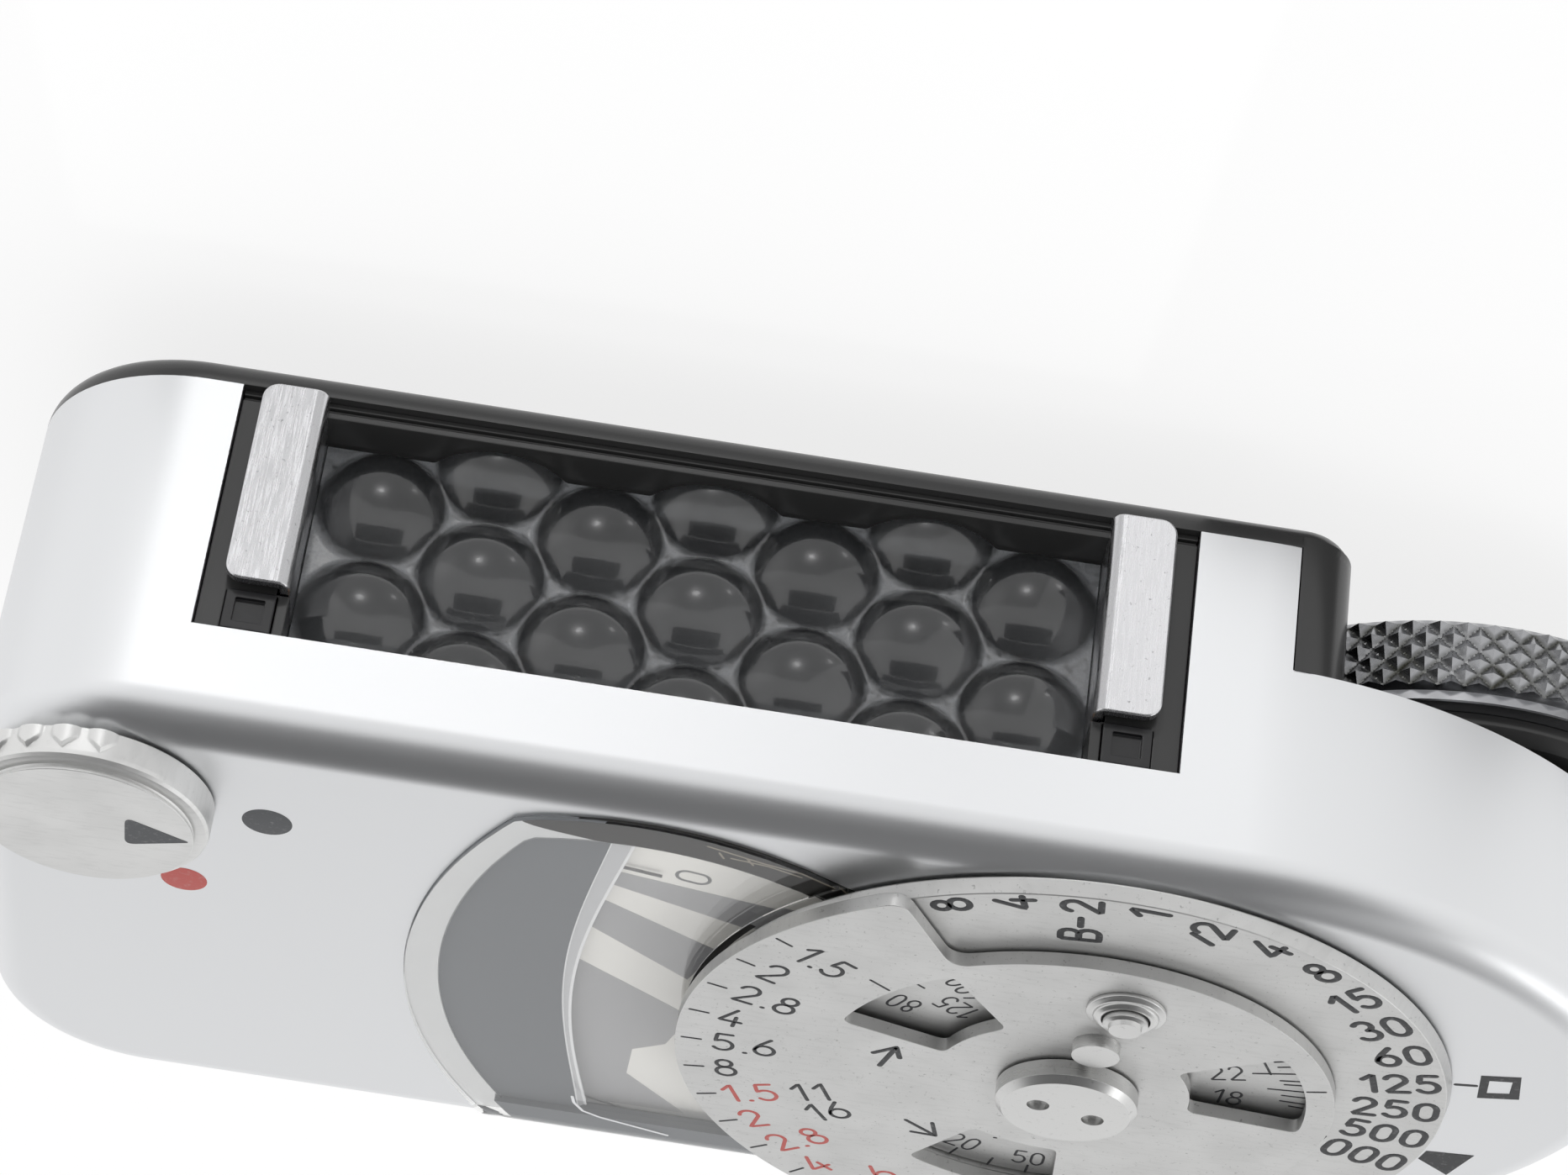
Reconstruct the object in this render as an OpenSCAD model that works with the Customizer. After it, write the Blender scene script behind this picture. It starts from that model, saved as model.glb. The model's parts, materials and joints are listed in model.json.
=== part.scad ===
/* [Body] */
// Height of the accessory shoe foot plate
foot_t = 2.0; // [1.8:0.1:2.2]
// Width of the foot, which slides in a standard accessory shoe
foot_w = 18.6; // [18.2:0.1:18.8]
// Length of the foot along its slide
foot_l = 18; // [14:0.5:20]
// Gap between the foot and the underside of the base, where the shoe lips go
neck_h = 1.7; // [1.5:0.1:2.5]
// Distance from the foot centre to the left end
left_x = 26.7; // [25.5:0.1:30]
// Distance from the dial axis to the front face
front_y = 16.8; // [16.2:0.1:19]
// Distance from the dial axis to the rear face
rear_y = 15.5; // [14.8:0.1:18]
// Height of the black band of the base below the cover
band_h = 1.4; // [1.2:0.1:2.5]
// Height of the cover from its seam to its top
cover_h = 16.3; // [16:0.1:20]
// Height of the cover where it overhangs the coupling wheel
overhang_h = 10.4; // [9.8:0.1:10.8]
// Wall thickness of the cover
wall = 1.0; // [0.8:0.05:1.1]
// Radius of the left corners, seen from above
corner_r = 7; // [5:0.5:8]
// Radius of the rounded top edge
edge_r = 1.8; // [1.4:0.1:2.2]
// Radius of the round right end
nose_r = 12; // [11:0.5:13]

/* [Dial] */
// Distance from the foot centre to the dial axis
dial_x = 20; // [19.5:0.1:21]
// Radius of the shutter speed ring
dial_r = 16; // [15:0.1:16.2]
// Height of the shutter speed ring
ring_h = 0.7; // [0.6:0.05:0.9]
// Radius of the raised aperture sector
sector_r = 16.7; // [16.2:0.1:17]
// Radius of the step where the aperture plate leaves the speeds open
step_r = 11.2; // [10.8:0.1:12]
// Thickness of the aperture plate
plate_t = 0.6; // [0.5:0.05:0.8]
// Radius of the dial spindle
spindle_r = 2.0; // [1.5:0.1:2.4]

/* [Gears] */
// Teeth on the dial gear
dial_teeth = 35; // [35:1:35]
// Teeth on the pinion of the coupling wheel
wheel_teeth = 15; // [15:1:15]
// Gear module
gear_m = 0.6; // [0.58:0.01:0.62]
// Thickness of the dial gear
gear_t = 1.2; // [0.8:0.1:1.4]
// Play between the flanks of the two gears
backlash = 0.12; // [0.08:0.01:0.2]

/* [Coupling wheel] */
// Outer radius of the knurled rim
wheel_r = 13.1; // [12:0.1:13.5]
// Height of the knurled band
knurl_h = 3.2; // [2.6:0.1:3.6]
// Radius of the recess that sits over the camera dial
recess_r = 10.4; // [9.5:0.1:10.8]
// Radius of the coupling pin
pin_r = 0.8; // [0.6:0.05:1]
// Distance from the wheel axis to the coupling pin
pin_offset = 7; // [5.5:0.5:8]
// Radius of the wheel shaft
shaft_r = 1.5; // [1.2:0.1:1.8]

/* [Front window] */
// Distance from the foot centre to the left edge of the window
win_left = 18.2; // [17.5:0.1:18.6]
// Distance from the foot centre to the right edge of the window
win_right = 21.5; // [21:0.1:21.8]
// Height of the window above the seam
win_h = 11.5; // [11:0.1:12.5]
// Side of one hexagonal lens
hex_s = 3.0; // [2.8:0.05:3.1]
// Radius of the lens domes
dome_r = 3.2; // [3.1:0.1:4]
// Width of a contact rail
rail_w = 2.7; // [2.2:0.1:3]

/* [Needle window] */
// Radius of the curved left edge, about the needle pivot
scale_r = 26.7; // [26:0.1:27.5]
// Width of the ledge that the clear insert rests on
ledge_w = 1.9; // [1:0.1:2.2]
// Distance from the dial axis to the front edge of the window
scale_y = 14.6; // [13.5:0.1:14.8]

/* [Movement] */
// Radius of the magnet yoke
yoke_r = 6.4; // [6.2:0.1:6.8]
// Radius of the magnet core
core_r = 3.2; // [2.8:0.1:3.4]
// Height of the magnet
magnet_h = 5.6; // [5:0.1:5.8]
// Needle angle at zero, seen from above
needle_zero = 147.5; // [146:0.5:150]

/* [Range knob] */
// Distance of the knob axis left of the foot centre
knob_x = 21.4; // [21:0.1:21.6]
// Distance of the knob axis in front of the dial axis
knob_y = 10.9; // [10.5:0.1:11]
// Radius of the knob skirt
knob_r = 5.0; // [4.5:0.1:5.2]
// Height of the knob
knob_h = 1.7; // [1.5:0.1:2.5]

/* [Hidden] */
$fn = 64;
play = 0.05;
gap = 0.1;
eps = 0.01;

// Heights of the main levels above the underside of the foot
z_base = foot_t + neck_h;
z_seam = z_base + band_h;
z_top = z_seam + cover_h;
z_over = z_top - overhang_h;
z_in = z_top - wall;

// Gears and the wheel axis
dial_pitch = gear_m * dial_teeth / 2;
wheel_pitch = gear_m * wheel_teeth / 2;
wheel_y = 1;
wheel_x = dial_x + sqrt(pow(dial_pitch + wheel_pitch, 2) - pow(wheel_y, 2));
wheel_a = atan2(wheel_y, wheel_x - dial_x);
pressure = 20;
z_gear = z_in - 0.6 - gear_t;
bridge_t = 1.0;
z_bridge = z_gear - 0.4 - bridge_t;

// Plan shape: two left corners, a long front curve, the round nose and a rear curve
front_blend = 22;
nose_back = 3.77;
rear_blend = 20;
nose_x = wheel_x - nose_back;
nose_y = 2.1;
blend_x = nose_x - sqrt(pow(front_blend - nose_r, 2) - pow(nose_y - front_y + front_blend, 2));
tail_x = nose_x - sqrt(pow(rear_blend - nose_r, 2) - pow(nose_y + rear_y - rear_blend, 2));
blend_a = atan2(nose_y - front_y + front_blend, nose_x - blend_x);
tail_a = atan2(nose_y + rear_y - rear_blend, nose_x - tail_x);
step_x = dial_x + 5.7;
end_x = step_x + 2.4;
end_r = 2.2;
base_edge = 1.3;
corner_steps = 12;
curve_steps = 14;
bend_step = 10;

// Levels of the dial stack
z_ring = z_top + gap;
z_ring_top = z_ring + ring_h;
z_disc = z_ring_top - 0.3;
z_plate = z_ring_top + gap;
z_plate_top = z_plate + plate_t;
nut_h = 1.0;
z_nut = z_plate_top + gap;
flange_r = spindle_r + 1.4;
ring_step = 10.07;
notch_a = 122.4;
window_in = 5.8;
window_out = 10.4;

// Levels of the coupling wheel
z_wheel = z_over - 5.6;
z_knurl = z_wheel + knurl_h;
band_t = 0.6;
z_web = z_knurl - 0.4;
z_wheel_top = z_knurl + band_t;
hub_t = 0.9;
z_hub_top = z_wheel_top + hub_t;
over_t = 1.2;
pin_collar = 1.2;
pin_shank = pin_r - 0.2;
pin_a = 200;

// Clearance of the wheel in the base, and the wall round it
bay_r = wheel_r + 0.4;
bay_wall = 0.9;

// Centre of the curved left edge of the needle window
scale_cx = dial_x - 1.8;
scale_cy = -0.5;

// Needle movement
pivot_x = dial_x - 3;
pivot_y = -0.5;
gap_r = 5.0;
z_magnet = z_seam + 2.5;
z_magnet_top = z_magnet + magnet_h;
coil_r = 4.4;
coil_w = 2.0;
z_needle = z_magnet_top + 1.5;
scale_t = 0.4;
z_scale = z_in - 1.1;
scale_edge = 20.5;
hook_r = scale_edge + 1.2;
tip_r = 17.8;
crank_r = 12.8;
zero_len = 5.2;
zero_a = 230;
zero_off = 0.8;

// Places of screws and posts
base_posts = [
    [-left_x + 4.3, -rear_y + 4.5],
    [-left_x + 4.3, 1],
    [23.6, front_y - 3.6],
    [23.6, -rear_y + 3.0]];
gear_out = dial_pitch + gear_m;
pinion_out = wheel_pitch + gear_m;
plate_posts = [for (a = [75, -80])
    [wheel_x + (pinion_out + 2) * cos(a), wheel_y + (pinion_out + 2) * sin(a)]];
bridge_posts = [for (a = [50, 134, 230, 310])
    [dial_x + (gear_out + 1.8) * cos(a), (gear_out + 1.8) * sin(a)]];
scale_posts = [for (a = [160, 200]) [dial_x + (gear_out + 2.4) * cos(a), (gear_out + 2.4) * sin(a)]];
foot_holes = [for (x = [-1, 1], y = [-1, 1]) [x * 4, y * 5.5]];
board_end = -11.9;
board_posts = [[-left_x + 4.2, 4.6], [board_end - 1.7, 8.6]];

// Points of an arc, with its ends
function arc(cx, cy, r, a0, a1, n) =
    [for (i = [0:n]) [cx + r * cos(a0 + (a1 - a0) * i / n), cy + r * sin(a0 + (a1 - a0) * i / n)]];

// Plan of the cover, moved inwards by d
function cover_plan(d) = concat(
    arc(-left_x + corner_r, -rear_y + corner_r, corner_r - d, 270, 180, corner_steps),
    arc(-left_x + corner_r, front_y - corner_r, corner_r - d, 180, 90, corner_steps),
    arc(blend_x, front_y - front_blend, front_blend - d, 90, blend_a, corner_steps),
    arc(nose_x, nose_y, nose_r - d, blend_a - 4, tail_a + 4, curve_steps),
    arc(tail_x, -rear_y + rear_blend, rear_blend - d, tail_a, -90, curve_steps));

// Plan of the base, which ends in a wall with rounded corners
function base_plan(d) = concat(
    arc(-left_x + corner_r, -rear_y + corner_r, corner_r - d, 270, 180, corner_steps),
    arc(-left_x + corner_r, front_y - corner_r, corner_r - d, 180, 90, corner_steps),
    arc(end_x - max(end_r, d + 0.4), front_y - max(end_r, d + 0.4), max(end_r - d, 0.4), 90, 0, 8),
    arc(end_x - max(end_r, d + 0.4), -rear_y + max(end_r, d + 0.4), max(end_r - d, 0.4), 0, -90, 8));

// A solid from rings of equally many points that run clockwise, as [height, plan] pairs from bottom to top
module lofted(rings) {
    n = len(rings[0][1]);
    k = len(rings);
    polyhedron(
        points = [for (r = rings, p = r[1]) [p[0], p[1], r[0]]],
        faces = concat(
            [[for (i = [n - 1:-1:0]) i]],
            [for (j = [0:k - 2], i = [0:n - 1])
                [j * n + (i + 1) % n, (j + 1) * n + (i + 1) % n, (j + 1) * n + i, j * n + i]],
            [[for (i = [0:n - 1]) (k - 1) * n + i]]));
}

// The outer form of the cover, moved inwards by d, with its rounded top edge
module cover_form(d, z0) {
    r = edge_r - d;
    lofted(concat(
        [[z0, cover_plan(d)]],
        [for (a = [0:bend_step:90]) [z_top - edge_r + r * sin(a), cover_plan(d + r - r * cos(a))]]));
}

// A bar with its cross-section in the YZ plane, drawn out along X
module along_x(x0, x1) {
    translate([x0, 0, 0]) rotate([90, 0, 90]) linear_extrude(x1 - x0) children();
}

// Cross-section of the skin over the top and the rear edge, from depth d0 to depth d1
module rear_skin(d0, d1, z0) {
    cy = -rear_y + edge_r;
    cz = z_top - edge_r;
    polygon(concat(
        [[30, z_top - d0]], arc(cy, cz, edge_r - d0, 90, 180, 6), [[-rear_y + d0, z0], [-rear_y + d1, z0]],
        arc(cy, cz, max(edge_r - d1, 0.2), 180, 90, 4), [[30, z_top - d1]]));
}

// Plan of the needle window, moved inwards by d
module scale_plan(d) {
    intersection() {
        translate([scale_cx, scale_cy]) circle(scale_r - d, $fn = 128);
        translate([-20, -rear_y - 5]) square([27.5 - d, rear_y + 5 + scale_y - d]);
    }
}

// A point on an involute flank: the angle from the tooth's middle at radius r
function flank(rp, teeth, r) = let (rb = rp * cos(pressure))
    90 / teeth - backlash / 4 / rp * 180 / PI + tan(pressure) * 180 / PI - pressure
    - (r > rb ? tan(acos(rb / r)) * 180 / PI - acos(rb / r) : 0);

// Outline of a spur gear, one tooth pointing along X
function gear_plan(rp, teeth) = let (
        ra = rp + 0.9 * gear_m,
        rf = rp - 1.2 * gear_m,
        radii = [rf, max(rf + 0.05, rp * cos(pressure) + 0.02), rp, rp + 0.5 * gear_m, ra])
    [for (t = [0:teeth - 1], s = [-1, 1], i = [0:4])
        let (r = radii[s < 0 ? i : 4 - i], a = 360 * t / teeth + s * flank(rp, teeth, r))
        [r * cos(a), r * sin(a)]];

// A ring or disc between two heights
module ring(r_out, r_in, z0, z1) {
    translate([0, 0, z0]) difference() {
        cylinder(r = r_out, h = z1 - z0);
        if (r_in > 0) translate([0, 0, -1]) cylinder(r = r_in, h = z1 - z0 + 2);
    }
}

// A round tube swept along points, with sides corners
module swept(path, r, sides) {
    n = len(path);
    points = [for (i = [0:n - 1])
        let (
            t0 = path[min(i + 1, n - 1)] - path[max(i - 1, 0)],
            t = t0 / norm(t0),
            up = abs(t[2]) > 0.9 ? [1, 0, 0] : [0, 0, 1],
            u0 = cross(t, up),
            u = u0 / norm(u0),
            v = cross(t, u))
        for (k = [0:sides - 1]) path[i] + r * cos(360 * k / sides) * u + r * sin(360 * k / sides) * v];
    polyhedron(points = points, faces = concat(
        [[for (k = [0:sides - 1]) k]],
        [for (i = [0:n - 2], k = [0:sides - 1])
            [i * sides + k, (i + 1) * sides + k,
             (i + 1) * sides + (k + 1) % sides, i * sides + (k + 1) % sides]],
        [[for (k = [sides - 1:-1:0]) (n - 1) * sides + k]]));
}

// A slotted screw, head up at z, pointing down
module screw(head_r, head_h, r, l) {
    difference() {
        union() {
            cylinder(r = head_r, h = head_h);
            translate([0, 0, -l]) cylinder(r = r, h = l + eps);
        }
        translate([-head_r - 1, -0.2, head_h - 0.35]) cube([2 * head_r + 2, 0.4, 1]);
    }
}

// Housing

// Satin chrome cover: a drawn shell with screw posts, the two windows and the holes for dial and knob
module top_cover() color([0.80, 0.81, 0.82]) {
    difference() {
        cover_form(0, z_seam);
        cover_form(wall, z_seam - 1);
        translate([step_x, -rear_y - 5, z_seam - 1]) cube([40, 50, z_over - z_seam + 1]);
        translate([-win_left, front_y - wall - 2, z_seam - 1]) cube([win_left + win_right, 10, win_h + 1]);
        translate([dial_x, 0, z_in - 1]) cylinder(r = flange_r + gap, h = 5);
        translate([-knob_x, knob_y, z_in - 1]) cylinder(r = shaft_r + play, h = 5);
        intersection() {
            along_x(-12, 10) rear_skin(-1, 0.6, z_top - 4.4);
            translate([0, 0, z_seam]) linear_extrude(40) scale_plan(0);
        }
        intersection() {
            translate([-30, -rear_y - 5, z_top - 4.4 + ledge_w]) cube([60, 60, 30]);
            translate([0, 0, z_seam]) linear_extrude(40) scale_plan(ledge_w);
        }
    }
    for (p = base_posts) translate([p[0], p[1], 0]) ring(1.7, 0.8, z_seam + gap, z_in + eps);
    for (p = plate_posts) translate([p[0], p[1], 0]) ring(1.5, 0.7, z_over + over_t, z_in + eps);
    for (p = bridge_posts) translate([p[0], p[1], 0]) ring(1.35, 0.7, z_bridge + bridge_t, z_in + eps);
    for (p = scale_posts) translate([p[0], p[1], 0]) ring(0.9, 0, z_scale + scale_t, z_in + eps);
    for (p = board_posts) translate([p[0], p[1], 0]) ring(1.3, 0.6, z_top - 7.6, z_in + eps);
}

// Black moulded base: floor with a rounded lower edge, a locating rim, an end wall and the bay of the wheel
module base_housing() color([0.09, 0.09, 0.10]) difference() {
    union() {
        lofted(concat(
            [for (a = [90:-15:0])
                [z_base + base_edge - base_edge * sin(a), base_plan(base_edge - base_edge * cos(a))]],
            [[z_seam, base_plan(0)]]));
        intersection() {
            translate([0, 0, z_seam - eps]) linear_extrude(z_over - z_seam + eps) polygon(base_plan(0));
            translate([step_x + play, -50, 0]) cube([20, 100, 40]);
        }
        intersection() {
            translate([wheel_x, wheel_y, z_seam - 1])
                cylinder(r = bay_r + bay_wall, h = z_over - z_seam + 1, $fn = 128);
            translate([0, -50, 0]) cube([step_x + 1, 100, 40]);
        }
        difference() {
            translate([0, 0, z_seam - eps]) linear_extrude(1.6) polygon(base_plan(wall + play));
            translate([0, 0, z_seam - 1]) linear_extrude(5) polygon(base_plan(wall + 1.1));
            translate([-win_left - 1, front_y - 6, z_seam]) cube([win_left + win_right + 2, 10, 5]);
            translate([step_x - 1.2, -50, z_seam]) cube([20, 100, 5]);
            for (p = base_posts) translate([p[0], p[1], z_seam]) cylinder(r = 1.9, h = 5);
        }
    }
    translate([wheel_x, wheel_y, z_base - 1]) cylinder(r = bay_r, h = 30, $fn = 128);
    for (p = base_posts) translate([p[0], p[1], z_base - 1]) {
        cylinder(r = 0.9, h = 5);
        cylinder(r = 1.6, h = 1.8);
    }
    for (p = foot_holes) translate([p[0], p[1], z_base - 1]) cylinder(r = 0.8, h = 5);
    translate([zero_x(), zero_y(), z_base - 1]) cylinder(r = 1.35, h = 5);
}

function zero_x() = pivot_x + zero_len * cos(zero_a);
function zero_y() = pivot_y + zero_len * sin(zero_a);

// Black plate that closes the overhang and the bay from above and carries the wheel bush
module overhang_plate() color([0.07, 0.07, 0.08]) difference() {
    translate([0, 0, z_over]) linear_extrude(over_t) intersection() {
        polygon(cover_plan(wall + play));
        union() {
            translate([wheel_x, wheel_y]) circle(bay_r + bay_wall + 0.1, $fn = 128);
            translate([step_x + play, -50]) square([40, 100]);
        }
    }
    translate([wheel_x, wheel_y, z_over - 1]) cylinder(r = shaft_r + 1.2, h = 5);
    for (p = plate_posts) translate([p[0], p[1], z_over - 1]) {
        cylinder(r = 0.8, h = 5);
        cylinder(r = 1.4, h = 1.5);
    }
}

// Front window

frame_y = front_y - 0.4;
lens_x0 = -win_left + 3.6;
lens_x1 = win_right - 3.7;
lens_z0 = z_seam + 0.8;
lens_z1 = z_seam + win_h - play;
lens_y = front_y - 3.8;
rail_t = 0.5;
rail_top = z_seam + 9.4;

// Black frame behind the window opening: a sill and two side blocks, grooved for the rails
module window_frame() color([0.08, 0.08, 0.09]) difference() {
    translate([-win_left + play, lens_y - 0.1, z_seam])
        cube([win_left + win_right - 2 * play, frame_y - lens_y + 0.1, win_h - play]);
    translate([lens_x0, lens_y - 1, lens_z0]) cube([lens_x1 - lens_x0, 10, 20]);
    for (s = [0, 1]) translate([s ? lens_x1 + 0.45 : lens_x0 - rail_w + 0.15, frame_y - 0.5, z_seam + 9.5])
        cube([rail_w - 0.6, 1, 1.9]);
    translate([lens_x0 - rail_t - play, lens_y + 1 - play, lens_z0 - play])
        cube([lens_x1 - lens_x0 + 2 * rail_t + 2 * play, 10, rail_top - lens_z0 + 2 * play]);
    translate([-win_left - 1, frame_y - 0.25, z_seam + 0.25]) cube([60, 1, 0.2]);
}

// Clear honeycomb screen: a plate with seven columns of hexagonal domes
module honeycomb_lens() color([0.75, 0.78, 0.80, 0.6]) {
    mid_x = (lens_x0 + lens_x1) / 2 + 0.05;
    mid_z = z_seam + 6.1;
    intersection() {
        union() {
            translate([lens_x0 - 1, lens_y, lens_z0 - 1]) cube([60, 1.4, 20]);
            for (i = [-3:3], j = [-1:1]) if (i % 2 == 0 || j < 1)
                translate([mid_x + i * 1.5 * hex_s, lens_y + 1.4,
                        mid_z + (j + (i % 2 == 0 ? 0 : 0.5)) * hex_s * sqrt(3)])
                    rotate([-90, 0, 0]) intersection() {
                        translate([0, 0, 1.5 - dome_r]) sphere(dome_r, $fn = 48);
                        cylinder(r = hex_s - 0.04, h = 3, $fn = 6);
                    }
        }
        translate([lens_x0 + play, 0, lens_z0 + play])
            cube([lens_x1 - lens_x0 - 2 * play, 50, lens_z1 - lens_z0 - play]);
    }
}

// Bright rail of L-section, which holds a slide-on booster cell; side is -1 on the left
module rail(side) color([0.88, 0.88, 0.87]) {
    x0 = side < 0 ? lens_x0 - rail_w : lens_x1;
    bend_x = side < 0 ? lens_x0 - rail_t : lens_x1;
    lip_y = front_y + 0.05;
    difference() {
        union() {
            translate([x0, lip_y, z_seam]) cube([rail_w, 0.45, rail_top - z_seam]);
            translate([bend_x, lens_y + 1, lens_z0]) cube([rail_t, lip_y - lens_y - 0.9, rail_top - lens_z0]);
        }
        translate([side < 0 ? lens_x0 : lens_x1, lip_y + 0.45, z_seam - 1]) rotate([0, 0, 45])
            translate([-0.3, -0.3, 0]) cube([0.6, 0.6, 20]);
    }
}
module rail_left() rail(-1);
module rail_right() rail(1);

// Dark contact blocks at the upper ends of the rails
module booster_contacts() color([0.16, 0.16, 0.17])
    for (s = [0, 1]) difference() {
        translate([s ? lens_x1 + 0.5 : lens_x0 - rail_w + 0.2, frame_y - 0.5, z_seam + 9.55])
            cube([rail_w - 0.7, 0.7, 1.8]);
        translate([s ? lens_x1 + 0.9 : lens_x0 - rail_w + 0.6, frame_y, z_seam + 9.9])
            cube([rail_w - 1.5, 1, 1.1]);
    }

// Selenium cell behind the lens, its brass backing and two contact springs
module selenium_cell() color([0.13, 0.13, 0.15])
    translate([lens_x0 - 0.4, lens_y - 1.1, lens_z0 - 0.1])
        cube([lens_x1 - lens_x0 + 0.8, 0.9, lens_z1 - lens_z0]);
module cell_backing() color([0.72, 0.60, 0.30]) difference() {
    translate([lens_x0 - 1.2, lens_y - 1.6, z_seam]) cube([lens_x1 - lens_x0 + 2.4, 0.4, win_h - 0.6]);
    translate([lens_x0 + 6, lens_y - 3, z_seam + 3]) cube([lens_x1 - lens_x0 - 12, 4, 4.5]);
}
module cell_contacts() color([0.80, 0.68, 0.38])
    for (x = [lens_x0 + 2, lens_x1 - 6]) translate([x, lens_y - 0.2, lens_z1 - 1.2]) cube([4, 0.15, 1]);

// Needle window

// Clear insert over the needle scale: it lies on the ledge and wraps over the rear edge
module needle_window() color([0.80, 0.84, 0.86, 0.4]) {
    difference() {
        intersection() {
            along_x(-12, 8) rear_skin(-0.2, 0.6, z_top - 4.35);
            translate([0, 0, z_seam]) linear_extrude(40) scale_plan(play);
        }
        translate([dial_x, 0, z_top]) cylinder(r = dial_r + 0.2, h = 5, $fn = 128);
    }
    intersection() {
        along_x(-12, 8) rear_skin(0.59, wall, z_top - 4.3 + ledge_w);
        translate([0, 0, z_seam]) linear_extrude(40) scale_plan(ledge_w + play);
    }
}

// Grey mask glued under the insert, left of the scale
module mask_plate() color([0.50, 0.51, 0.52])
translate([0, 0, z_in - 0.25]) linear_extrude(0.25) difference() {
    intersection() {
        scale_plan(ledge_w + play);
        translate([-20, -rear_y + 3.2]) square([40, 60]);
    }
    translate([dial_x - 21.6 + 58, -1]) circle(58, $fn = 128);
}

// White scale plate with an edge curved about the needle pivot, hung from two posts of the cover
module scale_plate() color([0.90, 0.89, 0.87])
translate([0, 0, z_scale]) linear_extrude(scale_t) difference() {
    intersection() {
        translate([pivot_x, pivot_y]) circle(scale_edge, $fn = 128);
        translate([-8, -rear_y + wall + 0.3]) square([dial_x - 2.6, rear_y - wall - 0.3 + scale_y - 0.3]);
    }
    translate([dial_x, 0]) circle(gear_out + 1.2);
    for (p = bridge_posts) translate(p) circle(1.35 + gap);
}

// Shoe foot

module shoe_foot() color([0.70, 0.70, 0.70]) difference() {
    union() {
        difference() {
            translate([-foot_w / 2, -foot_l / 2, 0]) cube([foot_w, foot_l, foot_t]);
            for (s = [-1, 1]) translate([s * foot_w / 2, foot_l / 2, -1]) rotate([0, 0, 45])
                translate([-0.8, -0.8, 0]) cube([1.6, 1.6, 5]);
        }
        translate([-6.2, -foot_l / 2, foot_t - eps]) cube([12.4, foot_l - 2, neck_h + eps]);
    }
    for (p = foot_holes) translate([p[0], p[1], -1]) {
        cylinder(r = 0.8, h = 10);
        cylinder(r = 1.6, h = 2);
    }
}

// Bowed leaf on each side of the neck, which presses the foot up in the shoe
module foot_spring() color([0.75, 0.74, 0.70])
    for (s = [-1, 1]) translate([s * 7.7, foot_l / 2 - 2.5, 0]) rotate([90, 0, 0]) linear_extrude(foot_l - 5)
        polygon(concat(arc(0, z_base - 3.25, 3, 63, 117, 6), arc(0, z_base - 3.25, 3.25, 117, 63, 6)));

module foot_screws() color([0.62, 0.62, 0.62])
    for (p = foot_holes) translate([p[0], p[1], 1]) rotate([180, 0, 0]) screw(1.5, 0.9, 0.75, z_seam - 1.1);
module base_screws() color([0.62, 0.62, 0.62])
    for (p = base_posts) translate([p[0], p[1], z_base + 0.8]) rotate([180, 0, 0]) screw(1.5, 0.7, 0.75, 5);
module plate_screws() color([0.62, 0.62, 0.62])
    for (p = plate_posts) translate([p[0], p[1], z_over + 0.5]) rotate([180, 0, 0]) screw(1.3, 0.5, 0.65, 5);
module bridge_screws() color([0.62, 0.62, 0.62])
    for (p = bridge_posts) translate([p[0], p[1], z_bridge]) rotate([180, 0, 0]) screw(1.3, 0.7, 0.65, 2.6);

// Moving-coil movement, about the needle pivot

module at_pivot() translate([pivot_x, pivot_y, 0]) children();

// Soft iron yoke: a ring cut open on the side of the wheel bay
module magnet_yoke() color([0.35, 0.36, 0.38]) at_pivot() difference() {
    ring(yoke_r, gap_r, z_magnet, z_magnet_top);
    translate([wheel_x - bay_r - bay_wall - 0.25 - pivot_x, -20, 0]) cube([20, 40, 40]);
}
module magnet_core() color([0.30, 0.31, 0.33]) at_pivot() ring(core_r, 0.9, z_magnet, z_magnet_top);

// Brass key that holds the core in the yoke, clear of the swing of the coil
module core_support() color([0.75, 0.62, 0.30]) at_pivot() intersection() {
    ring(gap_r - 0.02, core_r + 0.02, z_magnet + 1.2, z_magnet_top - 1.2);
    rotate([0, 0, 176]) translate([0, -1.5, 0]) cube([10, 3, 30]);
}

// Bar over the movement on two short legs
module upper_bridge() color([0.75, 0.62, 0.30]) at_pivot() difference() {
    union() {
        translate([-1.4, -yoke_r, z_needle + 0.7]) cube([2.8, 2 * yoke_r, 0.7]);
        for (s = [-1, 1]) intersection() {
            ring(yoke_r, gap_r, z_magnet_top, z_needle + 0.8);
            translate([-1.4, s > 0 ? 0 : -20, 0]) cube([2.8, 20, 30]);
        }
    }
    translate([0, 0, z_needle]) cylinder(r = 0.45, h = 0.7 + 0.4);
}

// Bar under the movement with legs up to the yoke and a boss for the zero lever
module lower_bridge() color([0.75, 0.62, 0.30]) at_pivot() difference() {
    union() {
        translate([-1.4, -yoke_r, z_seam]) cube([2.8, 2 * yoke_r, 0.6]);
        for (s = [-1, 1]) intersection() {
            ring(yoke_r, gap_r, z_seam, z_magnet);
            translate([-1.4, s > 0 ? 0 : -20, 0]) cube([2.8, 20, 30]);
        }
        ring(1.0, 0, z_seam + 0.5, z_seam + 0.95);
    }
    translate([0, 0, z_seam + 0.4]) cylinder(r = 0.45, h = 3);
}

module coil_frame() color([0.80, 0.80, 0.78]) at_pivot() rotate([0, 0, needle_zero - 90]) difference() {
    translate([-coil_r, -coil_w / 2, z_magnet - 0.9]) cube([2 * coil_r, coil_w, magnet_h + 1.8]);
    translate([-coil_r + 0.35, -5, z_magnet - 0.55]) cube([2 * coil_r - 0.7, 10, magnet_h + 1.1]);
    for (z = [z_magnet - 0.9, z_magnet_top + 0.9]) translate([0, 0, z - 0.5]) cylinder(r = 0.35, h = 1);
}

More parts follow.
